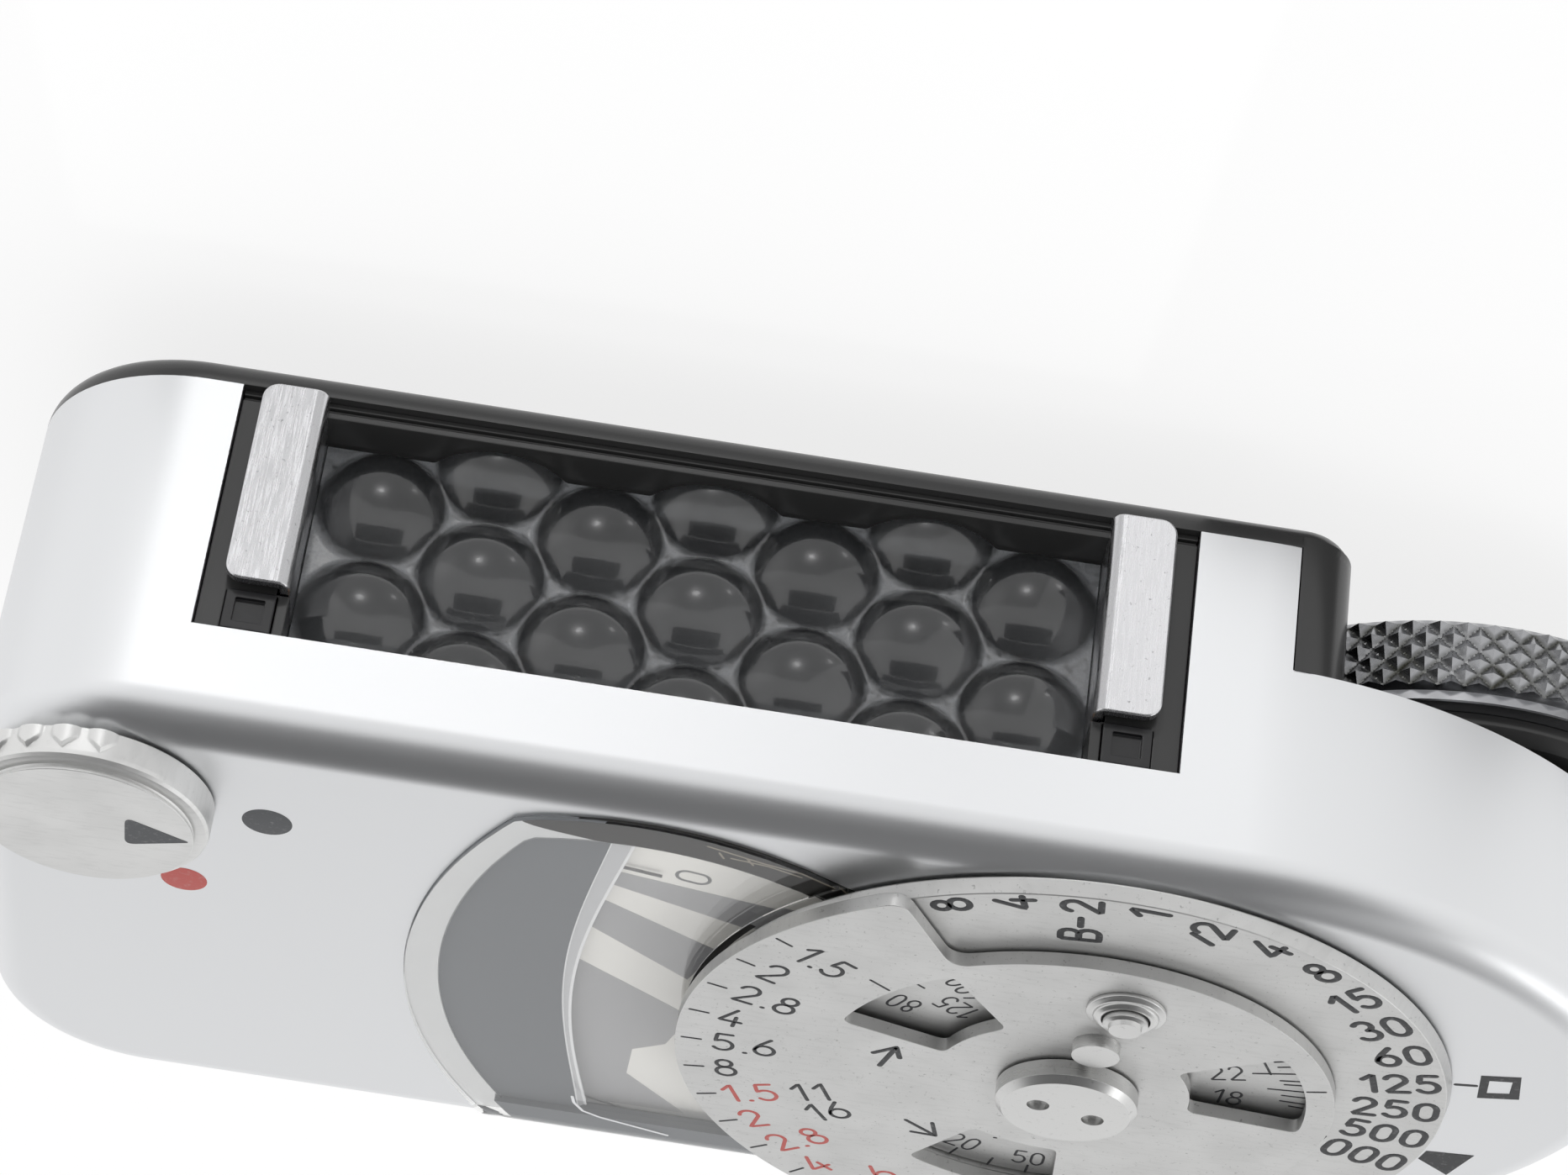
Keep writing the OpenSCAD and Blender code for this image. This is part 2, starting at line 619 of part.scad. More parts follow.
// Copper winding, wound on the frame
module coil_winding() color([0.70, 0.38, 0.20]) at_pivot() rotate([0, 0, needle_zero - 90]) difference() {
    translate([-coil_r - 0.25, -coil_w / 2 + 0.3, z_magnet - 1.15])
        cube([2 * coil_r + 0.5, coil_w - 0.6, magnet_h + 2.3]);
    translate([-coil_r, -5, z_magnet - 0.9]) cube([2 * coil_r, 10, magnet_h + 1.8]);
    for (z = [z_magnet - 1.1, z_magnet_top + 1.1]) translate([0, 0, z - 0.5]) cylinder(r = 0.35, h = 1);
}

// Upper and lower half-spindles with conical pivots
module coil_spindle() color([0.60, 0.60, 0.62]) at_pivot() {
    ring(0.35, 0, z_magnet_top + 0.55, z_needle + 0.72);
    translate([0, 0, z_needle + 0.72]) cylinder(r1 = 0.35, r2 = 0.05, h = 0.35);
    ring(0.35, 0, z_seam + 0.75, z_magnet - 0.55);
    translate([0, 0, z_seam + 0.42]) cylinder(r1 = 0.05, r2 = 0.35, h = 0.34);
}

// Cranked needle: it runs under the scale plate, turns up round the edge and its tip comes back over it
module needle() color([0.12, 0.12, 0.13]) at_pivot() rotate([0, 0, needle_zero]) {
    z_low = z_scale - 0.8;
    z_tip = z_scale + scale_t + 0.1;
    difference() {
        union() {
            ring(0.8, 0, z_needle, z_needle + 0.3);
            translate([0.5, -0.15, z_needle]) cube([crank_r - 0.2, 0.3, 0.3]);
            translate([crank_r, -0.15, z_needle]) cube([0.3, 0.3, z_low - z_needle + 0.3]);
            translate([crank_r, -0.15, z_low]) cube([hook_r - crank_r, 0.3, 0.3]);
            translate([hook_r - 0.3, -0.15, z_low]) cube([0.3, 0.3, z_tip - z_low + 0.2]);
            translate([tip_r, -0.15, z_tip]) cube([hook_r - tip_r, 0.3, 0.2]);
        }
        translate([0, 0, z_needle - 1]) cylinder(r = 0.35, h = 3);
    }
}

// Cross arms with balance weights behind the needle
module balance_arms() color([0.78, 0.65, 0.35]) at_pivot() rotate([0, 0, needle_zero]) difference() {
    union() {
        ring(0.9, 0, z_needle + 0.3, z_needle + 0.5);
        for (a = [110, 180, 250]) rotate([0, 0, a]) {
            translate([0.5, -0.12, z_needle + 0.3]) cube([3.6, 0.24, 0.2]);
            translate([2.6, 0, z_needle + 0.4]) rotate([0, 90, 0]) cylinder(r = 0.28, h = 1.2);
        }
    }
    translate([0, 0, z_needle - 1]) cylinder(r = 0.35, h = 3);
}

// A point of the flat spiral, at step i, moved outwards by d
spiral_turns = 3.5;
spiral_steps = 63;
function spiral(i, d) = let (a = 360 * spiral_turns * i / spiral_steps, r = 0.42 + 1.7 * i / spiral_steps + d)
    [r * cos(a), r * sin(a)];

// Flat spiral spring below the coil
module hairspring() color([0.75, 0.60, 0.30]) at_pivot() {
    z = z_seam + 1.02;
    translate([0, 0, z]) linear_extrude(0.2) polygon(concat(
        [for (i = [0:spiral_steps]) spiral(i, 0.06)], [for (i = [spiral_steps:-1:0]) spiral(i, -0.06)]));
    ring(0.5, 0.35, z, z + 0.2);
}

// Lever that carries the outer end of the hairspring, forked round the pin of the zero screw
module zero_lever() color([0.70, 0.58, 0.30]) at_pivot() rotate([0, 0, zero_a]) difference() {
    union() {
        ring(2.5, 0, z_seam + 0.65, z_seam + 0.9);
        translate([0, -1.1, z_seam + 0.65]) cube([zero_len + 0.9, 2.2, 0.25]);
        rotate([0, 0, 60]) translate([2.75, 0, z_seam + 0.65]) cylinder(r = 0.35, h = 0.6);
        rotate([0, 0, 60]) translate([1.8, -0.3, z_seam + 0.65]) cube([1, 0.6, 0.25]);
    }
    translate([0, 0, z_seam - 1]) cylinder(r = 1.0 + play, h = 5);
    translate([zero_len - 1.7, -0.55, z_seam - 1]) cube([4, 1.1, 5]);
}

// Zero screw in the base: slotted head below, eccentric pin above
module zero_screw() color([0.70, 0.70, 0.70])
translate([zero_x(), zero_y(), 0]) rotate([0, 0, zero_a]) difference() {
    union() {
        ring(1.3, 0, z_base + 0.2, z_seam + 0.3);
        translate([-zero_off, 0, z_seam + 0.2]) cylinder(r = 0.4, h = 0.8);
    }
    translate([-2, -0.2, z_base - 1]) cube([4, 0.4, 1.7]);
}

// Gear train

// Brass plate that carries the dial spindle and the top of the wheel shaft
module dial_bridge() color([0.76, 0.64, 0.34]) difference() {
    translate([0, 0, z_bridge]) linear_extrude(bridge_t) {
        translate([dial_x, 0]) circle(6);
        translate([wheel_x, wheel_y]) circle(4);
        translate([dial_x, 0]) rotate(wheel_a) translate([0, -3]) square([wheel_x - dial_x, 6]);
        for (p = bridge_posts) {
            translate([p[0], p[1]]) circle(1.5);
            translate([dial_x, 0]) rotate(atan2(p[1], p[0] - dial_x)) translate([0, -1.4])
                square([norm([p[0] - dial_x, p[1]]), 2.8]);
        }
    }
    translate([dial_x, 0, z_bridge - 1]) cylinder(r = spindle_r + 1, h = 5);
    translate([wheel_x, wheel_y, z_bridge - 1]) cylinder(r = shaft_r + 1, h = 5);
    for (p = bridge_posts) translate([p[0], p[1], z_bridge - 1]) cylinder(r = 0.75, h = 5);
}
module dial_bush() color([0.80, 0.70, 0.42]) translate([dial_x, 0, 0])
    ring(spindle_r + 1, spindle_r + play, z_bridge - 0.5, z_bridge + bridge_t + 0.2);
module wheel_bushes() color([0.80, 0.70, 0.42]) translate([wheel_x, wheel_y, 0]) {
    ring(shaft_r + 1, shaft_r + play, z_bridge - 0.5, z_bridge + bridge_t + 0.2);
    ring(shaft_r + 1.2, shaft_r + play, z_hub_top + gap, z_over + over_t + 1);
    ring(shaft_r + 2, shaft_r + play, z_over + over_t, z_over + over_t + 0.8);
}

module dial_gear() color([0.80, 0.66, 0.30]) translate([dial_x, 0, z_gear]) difference() {
    linear_extrude(gear_t) rotate(wheel_a) polygon(gear_plan(dial_pitch, dial_teeth));
    translate([0, 0, -1]) cylinder(r = spindle_r, h = 5);
    for (a = [30:60:330]) rotate([0, 0, a]) translate([6, 0, -1]) cylinder(r = 1.8, h = 5);
}
module wheel_pinion() color([0.66, 0.66, 0.66]) translate([wheel_x, wheel_y, z_gear]) difference() {
    linear_extrude(gear_t) rotate(wheel_a + 180 + 180 / wheel_teeth)
        polygon(gear_plan(wheel_pitch, wheel_teeth));
    translate([0, 0, -1]) cylinder(r = shaft_r, h = 5);
}

// Dial

module at_dial() translate([dial_x, 0, 0]) children();
module at_button() rotate([0, 0, 81]) translate([8.1, 0, 0]) children();

// Spindle with a flange under the speed ring and a reduced end for the nut
module dial_spindle() color([0.65, 0.65, 0.66]) at_dial() {
    ring(spindle_r, 0, z_bridge - 0.8, z_plate_top + 0.05);
    ring(flange_r, spindle_r - 0.1, z_gear + gear_t, z_ring);
    ring(1.5, 0, z_plate_top, z_nut + nut_h - 0.3);
}

// Speed ring: a turned disc with a raised rim for the numbers and a sunk middle
module speed_ring() color([0.83, 0.83, 0.83]) at_dial() rotate_extrude($fn = 128) polygon([
    [spindle_r, z_ring], [dial_r - 0.1, z_ring], [dial_r, z_ring + 0.1], [dial_r, z_ring_top - 0.2],
    [dial_r - 0.25, z_ring_top], [step_r - 0.4, z_ring_top], [step_r - 0.4, z_disc - 0.15],
    [spindle_r, z_disc - 0.15]]);
module film_speed_disc() color([0.80, 0.80, 0.80]) at_dial()
    ring(step_r - 0.5, spindle_r, z_disc - 0.15, z_disc + 0.1);

// Sector of a ring in plan
module sector(r_in, r_out, a0, a1) {
    polygon(concat(arc(0, 0, r_in, a0, a1, 10), arc(0, 0, r_out, a1, a0, 10)));
}

// Aperture plate: full radius where the apertures are, stepped in where the speeds show, with three windows
module aperture_plate() color([0.82, 0.82, 0.82]) at_dial() translate([0, 0, z_plate]) difference() {
    linear_extrude(plate_t) {
        circle(step_r, $fn = 128);
        difference() {
            circle(sector_r, $fn = 128);
            rotate(notch_a) mirror([0, 1]) square(30);
            rotate(notch_a - 90) mirror([0, 1]) square(30);
            rotate(-90) square([30, 30]);
        }
    }
    translate([0, 0, -1]) linear_extrude(5) {
        sector(window_in, window_out, 123.5, 162);
        sector(window_in, window_out, -124, -86);
        sector(window_in - 0.5, window_out - 0.3, -2, 33);
    }
    translate([0, 0, -1]) cylinder(r = spindle_r + play, h = 5);
    at_button() translate([0, 0, -1]) cylinder(r = 0.62, h = 5);
}
module stop_rivet() color([0.80, 0.80, 0.80]) at_dial() rotate([0, 0, 83]) translate([4.55, 0, 0])
    ring(1.0, 0, z_plate_top, z_plate_top + 0.55);

// Turned collar round the setting button
module button_collar() color([0.80, 0.80, 0.80]) at_dial() at_button()
    rotate_extrude() polygon([[1.0, z_plate_top], [1.65, z_plate_top], [1.65, z_plate_top + 0.2],
        [1.35, z_plate_top + 0.25], [1.35, z_plate_top + 0.4], [1.15, z_plate_top + 0.5],
        [1.0, z_plate_top + 0.5]]);
module setting_button() color([0.82, 0.82, 0.82]) at_dial() at_button()
    rotate_extrude() polygon([[0, z_plate_top - 0.35], [0.57, z_plate_top - 0.35], [0.57, z_plate_top + 0.32],
        [0.93, z_plate_top + 0.32], [0.93, z_plate_top + 0.7], [0.7, z_plate_top + 0.75],
        [0.66, z_plate_top + 0.95],
        [0, z_plate_top + 0.95]]);

// Round nut with two spanner holes
module centre_nut() color([0.84, 0.84, 0.84]) at_dial() difference() {
    rotate_extrude() polygon([[1.5, z_nut], [3.0, z_nut], [3.0, z_nut + nut_h - 0.35], [2.7, z_nut + nut_h],
        [0, z_nut + nut_h], [0, z_nut + nut_h - 0.3], [1.5, z_nut + nut_h - 0.3]]);
    for (s = [-1, 1]) rotate([0, 0, -15.5]) translate([s * 1.25, 0, z_nut + nut_h - 0.26])
        cylinder(r = 0.48, h = 3);
}

// Coupling wheel

module at_wheel() translate([wheel_x, wheel_y, 0]) children();

module wheel_shaft() color([0.60, 0.60, 0.62]) at_wheel() ring(shaft_r, 0, z_web, z_gear + gear_t + 0.2);

// Rim with the knurled band, the smooth band above it and the web over the recess
module coupling_wheel() color([0.78, 0.78, 0.76]) at_wheel() difference() {
    rotate_extrude($fn = 128) polygon([[shaft_r, z_web], [recess_r, z_web], [recess_r, z_wheel],
        [wheel_r - 0.5, z_wheel], [wheel_r, z_wheel + 0.35], [wheel_r, z_knurl],
        [wheel_r - 0.5, z_knurl + 0.1],
        [wheel_r - 0.6, z_wheel_top], [shaft_r, z_wheel_top]]);
    rotate([0, 0, pin_a]) translate([pin_offset, 0, z_web - 1]) cylinder(r = pin_shank + play, h = 5);
}
module wheel_disc() color([0.08, 0.08, 0.09]) at_wheel() difference() {
    rotate_extrude($fn = 128) polygon([[shaft_r, z_wheel_top], [wheel_r - 1.4, z_wheel_top],
        [wheel_r - 1.4, z_wheel_top + 0.5], [wheel_r - 2, z_hub_top], [shaft_r, z_hub_top]]);
    rotate([0, 0, pin_a]) translate([pin_offset, 0, z_wheel_top - 1]) cylinder(r = pin_r + 0.3, h = 5);
}

// Sprung pin that enters the slot of the camera dial
module coupling_pin() color([0.66, 0.66, 0.66])
at_wheel() rotate([0, 0, pin_a]) translate([pin_offset, 0, 0]) {
    ring(pin_r, 0, z_wheel - 0.2, z_wheel + pin_collar + eps);
    ring(pin_r + 0.45, 0, z_wheel + pin_collar, z_wheel + pin_collar + 0.3);
    ring(pin_shank, 0, z_wheel + pin_collar + 0.3 - eps, z_wheel_top + 0.4);
}

// Coil spring between the collar of the pin and the web
module pin_spring() color([0.60, 0.60, 0.58]) at_wheel() rotate([0, 0, pin_a]) translate([pin_offset, 0, 0]) {
    z0 = z_wheel + pin_collar + 0.42;
    pitch = (z_web - z_wheel - 1.74) / 3;
    turn_r = pin_r + 0.25;
    swept([for (i = [0:36]) [turn_r * cos(30 * i), turn_r * sin(30 * i), z0 + pitch * i / 12]], 0.1, 5);
}

// Range switch

rib_step = 17;
module at_knob() translate([-knob_x, knob_y, 0]) children();

// Knob: a skirt with two groups of ribs, a turned bevel and a flat top
module range_knob() color([0.82, 0.82, 0.82]) at_knob() difference() {
    union() {
        translate([0, 0, z_ring]) linear_extrude(0.9) {
            circle(knob_r - 0.2);
            for (g = [116, 296], k = [-2:2]) rotate(g + rib_step * k) translate([knob_r - 0.35, 0])
                circle(0.6, $fn = 32);
        }
        rotate_extrude() polygon([
            [0, z_ring + 0.8], [knob_r - 0.35, z_ring + 0.8], [knob_r - 0.35, z_ring + 0.95],
            [knob_r - 0.5, z_ring + 1.1], [knob_r - 0.6, z_ring + knob_h - 0.25],
            [knob_r - 0.85, z_ring + knob_h],
            [0, z_ring + knob_h]]);
    }
    translate([0, 0, z_ring - 1]) cylinder(r = shaft_r, h = 2);
}
module knob_shaft() color([0.60, 0.60, 0.62]) at_knob() ring(shaft_r, 0, z_top - 8.4, z_ring + 1);
module range_wiper() color([0.80, 0.68, 0.38]) at_knob() rotate([0, 0, -6]) difference() {
    union() {
        ring(2.4, 0, z_top - 7.4, z_top - 7.1);
        translate([0, -0.8, z_top - 7.4]) cube([4.6, 1.6, 0.3]);
    }
    translate([0, 0, z_top - 9]) cylinder(r = shaft_r, h = 5);
}

// Contact board under the knob, with two resistors on it
module contact_board() color([0.45, 0.26, 0.14]) difference() {
    translate([0, 0, z_top - 8.4]) linear_extrude(0.8) intersection() {
        polygon(cover_plan(wall + 0.4));
        translate([-left_x, 3.0]) square([left_x + board_end, lens_y - 3.0 - 2.1]);
    }
    translate([-knob_x, knob_y, 0]) cylinder(r = shaft_r + play, h = 40);
    for (p = board_posts) translate([p[0], p[1], z_top - 9]) cylinder(r = 0.6, h = 5);
}
module shunt_resistors() color([0.75, 0.70, 0.55])
    for (y = [4.1, 6.3]) translate([-19.4, y, z_top - 9.3]) rotate([0, 90, 0]) cylinder(r = 0.9, h = 5);

// Two leads: from the cell to the board and from the board to the movement
module lead_wires() color([0.65, 0.12, 0.10]) {
    z_board = z_top - 8.45;
    swept([
        [-12, lens_y - 2, 8.6], [-12.4, 9.6, 8.9], [-12.6, 8.2, 9.6], [-12.7, 6.8, 10.6], [-12.7, 6.3, 11.8],
        [-12.7, 6.2, z_board]], 0.35, 6);
    swept([[-12.8, 4, z_board], [-12.8, 4, 12], [-12, 3, 9], [-8, 0, 6.4], [0, -2, 5.6], [7, -4, 5.6],
        [pivot_x - yoke_r - 1.2, -4.2, 6.2], [pivot_x - yoke_r - 0.5, -3.4, z_magnet + 1]], 0.35, 6);
}

top_cover();
base_housing();
overhang_plate();
window_frame();
honeycomb_lens();
rail_left();
rail_right();
booster_contacts();
selenium_cell();
cell_backing();
cell_contacts();
needle_window();
mask_plate();
scale_plate();
shoe_foot();
foot_spring();
foot_screws();
base_screws();
plate_screws();
magnet_yoke();
magnet_core();
core_support();
upper_bridge();
lower_bridge();
bridge_screws();
dial_bridge();
dial_bush();
wheel_bushes();
contact_board();
shunt_resistors();
lead_wires();
coil_frame();
coil_winding();
coil_spindle();
needle();
balance_arms();
hairspring();
range_knob();
knob_shaft();
range_wiper();
dial_spindle();
dial_gear();
speed_ring();
film_speed_disc();
centre_nut();
aperture_plate();
stop_rivet();
button_collar();
setting_button();
wheel_shaft();
wheel_pinion();
coupling_wheel();
wheel_disc();
coupling_pin();
pin_spring();
zero_lever();
zero_screw();
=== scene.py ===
"""Looks of a clip-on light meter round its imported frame: numpy surfaces, procedural finishes, a stage and a camera."""

import json
import math

import bmesh
import bpy
import numpy as np
from bpy.props import FloatProperty, FloatVectorProperty, IntProperty, PointerProperty
from mathutils import Euler, Matrix, Vector


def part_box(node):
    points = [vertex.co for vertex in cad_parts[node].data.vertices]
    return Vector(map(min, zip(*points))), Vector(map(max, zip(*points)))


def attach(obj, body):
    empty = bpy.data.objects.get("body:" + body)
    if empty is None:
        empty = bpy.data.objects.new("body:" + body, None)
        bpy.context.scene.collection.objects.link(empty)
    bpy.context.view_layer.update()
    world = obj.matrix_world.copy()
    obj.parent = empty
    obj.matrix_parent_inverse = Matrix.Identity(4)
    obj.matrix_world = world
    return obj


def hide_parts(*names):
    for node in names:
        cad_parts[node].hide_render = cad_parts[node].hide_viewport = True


bl_info = {
    "name": "Shoe Mount Light Meter",
    "version": (1, 0, 0),
    "blender": (4, 5, 0),
    "location": "View3D > Sidebar > Light Meter",
    "description": "Builds the visible pieces of a clip-on light meter round its packed frame",
    "category": "Add Mesh",
}

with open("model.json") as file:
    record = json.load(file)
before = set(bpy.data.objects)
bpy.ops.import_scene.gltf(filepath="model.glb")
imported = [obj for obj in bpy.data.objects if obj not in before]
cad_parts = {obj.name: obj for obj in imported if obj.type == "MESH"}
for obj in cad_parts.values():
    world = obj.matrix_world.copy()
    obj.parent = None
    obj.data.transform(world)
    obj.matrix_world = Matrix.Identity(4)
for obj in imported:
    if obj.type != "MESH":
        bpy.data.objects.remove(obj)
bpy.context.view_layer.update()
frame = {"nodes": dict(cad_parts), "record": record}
MM = 0.001


# Places read from the frame, in millimetres


def low(node):
    """Lowest corner of a node's box."""
    return np.array(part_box(node)[0]) / MM


def high(node):
    """Highest corner of a node's box."""
    return np.array(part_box(node)[1]) / MM


def middle(node):
    """Middle of a node's box."""
    return (low(node) + high(node)) / 2


LEFT, REAR, SEAM = low("top_cover")
FRONT, TOP = high("top_cover")[1:]
OVER = low("overhang_plate")[2]
DIAL = middle("speed_ring")[:2]
WHEEL = middle("coupling_wheel")[:2]
KNOB = middle("knob_shaft")[:2]
PIVOT = middle("hairspring")[:2]
RING_R = high("speed_ring")[0] - DIAL[0]
PLATE_TOP = high("aperture_plate")[2]

# Sizes that the frame's boxes don't show, in millimetres
EDGE_R = 1.8  # rounded top edge of the cover
FRONT_R, REAR_R = 22, 20  # long front and rear curves of the cover, on both sides of its round right end
NOSE = (WHEEL[0] - 3.77, 2.1)  # centre of the round right end
WINDOW_MIDDLE = DIAL + (-1.8, -0.5)  # centre of the needle window's curved left edge
BOW, BOW_X = 0.037, 0.56  # the needle window's front edge falls by BOW * (x - BOW_X) squared
MASK_Z = TOP - 0.96  # upper face of the mask
PRINT = 0.012  # how far print stands out of its card


def linear(code):
    """Linear colour of an sRGB hex code: c / 12.92 below 0.04045, else ((c + 0.055) / 1.055) to the power 2.4."""
    values = [int(code[i:i + 2], 16) / 255 for i in (0, 2, 4)]
    return [c / 12.92 if c <= 0.04045 else ((c + 0.055) / 1.055) ** 2.4 for c in values]


def length(name, text, default):
    """A length property whose default is given in millimetres."""
    return FloatProperty(name=name, description=text, default=float(default) * MM, unit="LENGTH", precision=5)


def colour(name, text, code):
    """A colour property whose default is an sRGB hex code."""
    return FloatVectorProperty(name=name, description=text, default=linear(code), subtype="COLOR", size=3,
                               min=0, max=1)


class MeterBody(bpy.types.PropertyGroup):
    """Sizes of the cover, the base and the front window."""

    wall: length("Wall", "Wall thickness of the cover", 1.0)
    corner: length("Corner radius", "Radius of the two left corners, seen from above", 7.0)
    edge: length("Edge radius", "Radius of the rounded top edge", EDGE_R)
    nose: length("Nose radius", "Radius of the round right end", 12.0)
    step: length("Step", "Where the overhang over the coupling wheel begins", 25.7)
    window_left: length("Window left", "Left edge of the front window", -18.2)
    window_right: length("Window right", "Right edge of the front window", 21.5)
    window_height: length("Window height", "Height of the front window above the seam", 11.5)
    hexagon: length("Hexagon side", "Side of one hexagonal lens", 3.0)
    dome: length("Dome radius", "Radius of the lens domes", 3.2)
    rail_sheet: length("Rail sheet", "Thickness of the sheet that a rail is folded from", 0.45)


class MeterNeedleWindow(bpy.types.PropertyGroup):
    """Sizes of the needle window in the cover."""

    radius: length("Left edge radius", "Radius of the curved left edge", 26.7)
    front: length("Front edge", "Distance of the bowed front edge from the dial axis", 14.8)
    right: length("Right edge", "Where the window ends under the dial", 9.6)
    ledge: length("Front ledge", "Width of the ledge under the front edge of the clear insert", 2.1)
    side_ledge: length("Side ledge", "Width of the ledge under the curved left edge", 1.45)
    depth: length("Depth", "Depth of the ledge below the top", 0.6)
    wrap: length("Wrap", "How far the window comes down the rear", 4.4)


class MeterDial(bpy.types.PropertyGroup):
    """Sizes of the dial and of its engraved figures."""

    sector: length("Sector radius", "Radius of the aperture sector", 16.7)
    step: length("Step radius", "Radius where the aperture plate leaves the speeds open", 11.2)
    speed_height: length("Speed figure height", "Height of the shutter speed figures", 1.55)
    speed_stroke: length("Speed figure stroke", "Stroke of the shutter speed figures", 0.30)
    stop_height: length("Aperture figure height", "Height of the aperture figures", 1.5)
    stop_stroke: length("Aperture figure stroke", "Stroke of the aperture figures", 0.19)
    film_height: length("Film figure height", "Height of the film speed figures", 1.2)
    film_stroke: length("Film figure stroke", "Stroke of the film speed figures", 0.12)


class MeterWheel(bpy.types.PropertyGroup):
    """Sizes of the coupling wheel and the range knob."""

    diamonds: IntProperty(name="Diamonds", description="Knurl diamonds round the rim", default=72, min=12)
    rows: IntProperty(name="Rows", description="Staggered rows of knurl diamonds", default=5, min=1)
    depth: length("Knurl depth", "Depth of the knurl", 0.36)
    ribs: IntProperty(name="Ribs", description="Grip ribs of the range knob", default=5, min=1)


class MeterColours(bpy.types.PropertyGroup):
    """Colours of the finishes."""

    chrome: colour("Satin chrome", "Blasted and chromed brass", "CDCED1")
    silver: colour("Matt silver", "Silvered dial plates", "CFCFCE")
    nickel: colour("Nickel", "Bright nickel of the rails", "DADADC")
    plastic: colour("Black plastic", "Moulded base and frame", "0C0C0E")
    black_fill: colour("Black fill", "Paint in the engraved figures", "26272A")
    grey_fill: colour("Grey fill", "Paint in the arrow and the dot", "46484B")
    red_fill: colour("Red fill", "Paint in the red figures", "B4504A")
    mask: colour("Mask", "Grey card under the needle window", "696C70")
    stripe: colour("Stripe", "Grey stripes of the needle scale", "97979A")
    white: colour("Scale white", "White of the needle scale", "EEECE7")
    clear_edge: colour("Clear edge", "Moulded step of the clear insert", "B4B5B8")
    dust: colour("Dust", "Dust in the grooves of the lens", "8A8E94")
    cell: colour("Selenium", "Coated face of the selenium cell", "0B0D11")
    floor: colour("Floor", "Floor of the stage", "F2F2F2")


def mm(value):
    """A stored length in millimetres."""
    return value / MM


# Forms: each is (points, faces), with points in millimetres


def arc(centre, radius, start, end, count):
    """Points of a circle between two angles in degrees: centre + radius * (cosine, sine)."""
    a = np.radians(np.linspace(start, end, count))
    return np.stack([centre[0] + radius * np.cos(a), centre[1] + radius * np.sin(a)], -1)


def grid_faces(rows, columns, wrap_rows=False, wrap_columns=True):
    """Four-sided faces between neighbouring points of a grid stored row by row."""
    r = np.arange(rows if wrap_rows else rows - 1)[:, None]
    c = np.arange(columns if wrap_columns else columns - 1)[None, :]
    r_next, c_next = (r + 1) % rows, (c + 1) % columns
    corners = [r * columns + c, r * columns + c_next, r_next * columns + c_next, r_next * columns + c]
    return np.stack(np.broadcast_arrays(*corners), -1).reshape(-1, 4).tolist()


def at_level(outline, z):
    """A plan outline lifted to height z."""
    return np.column_stack([outline, np.full(len(outline), float(z))])


def lofted(rings):
    """A solid through rings of equally many points, filled at the first and the last ring."""
    rings = np.array(rings, float)
    rows, columns = rings.shape[:2]
    ends = [list(range(columns)), list(range((rows - 1) * columns, rows * columns))]
    return rings.reshape(-1, 3), grid_faces(rows, columns) + ends


def prism(outline, z0, z1):
    """A plan outline drawn up from z0 to z1."""
    return lofted([at_level(outline, z0), at_level(outline, z1)])


def block(corner, opposite):
    """A box between two corners."""
    (x0, y0, z0), (x1, y1, z1) = corner, opposite
    return prism([(x0, y0), (x1, y0), (x1, y1), (x0, y1)], z0, z1)


def turned(profile, centre, steps, closed=True):
    """A profile of (radius, height) points turned about a vertical axis: (r cos a, r sin a, z) for a all round."""
    profile = np.array(profile, float)
    a = np.linspace(0, 2 * math.pi, steps, endpoint=False)[None, :]
    r, z = profile[:, :1], profile[:, 1:]
    points = np.stack([centre[0] + r * np.cos(a), centre[1] + r * np.sin(a), z + 0 * a], -1)
    return points.reshape(-1, 3), grid_faces(len(profile), steps, wrap_rows=closed)


def rod(place, radius, z0, z1, steps=160):
    """A round rod about a vertical axis."""
    return turned([(0, z0), (radius, z0), (radius, z1), (0, z1)], place, steps, closed=False)


def joined(forms):
    """Several forms as one."""
    points, faces, count = [], [], 0
    for p, f in forms:
        points.append(p)
        faces += [[i + count for i in face] for face in f]
        count += len(p)
    return np.concatenate(points), faces


def distance(path):
    """Distance along a path at each of its points."""
    return np.r_[0, np.cumsum(np.hypot(*np.diff(path, axis=0).T))]


def spin(angle):
    """Matrix that turns the rows of a list of plan points by an angle in degrees: points @ spin(angle)."""
    a = math.radians(angle)
    return np.array([[math.cos(a), math.sin(a)], [-math.sin(a), math.cos(a)]])


def bead(path, width, z, rise):
    """A bead of paint along a path at height z: half an ellipse across, width wide, rise high, round at both ends."""
    path = np.array(path, float)
    reach = distance(path)
    s = np.linspace(0, reach[-1], max(2, int(reach[-1] / (0.45 * width)) + 1))
    core = np.stack([np.interp(s, reach, path[:, 0]), np.interp(s, reach, path[:, 1])], -1)
    along = np.gradient(core, axis=0)
    along /= np.linalg.norm(along, axis=1)[:, None] + 1e-9
    cap = np.array([1.0, 0.87, 0.5])[:, None] * width / 2
    core = np.concatenate([core[0] - along[0] * cap, core, core[-1] + along[-1] * cap[::-1]])
    along = np.concatenate([along[[0] * 3], along, along[[-1] * 3]])
    swell = np.r_[0.0, 0.5, 0.87, np.ones(len(core) - 6), 0.87, 0.5, 0.0][:, None]
    a = np.radians([0, 55, 125, 180, 270])[None, :]
    across = np.cos(a) * swell * width / 2
    points = np.stack([core[:, :1] - along[:, 1:] * across, core[:, 1:] + along[:, :1] * across,
                       z + np.sin(a) * swell * rise], -1)
    return points.reshape(-1, 3), grid_faces(len(core), a.size)


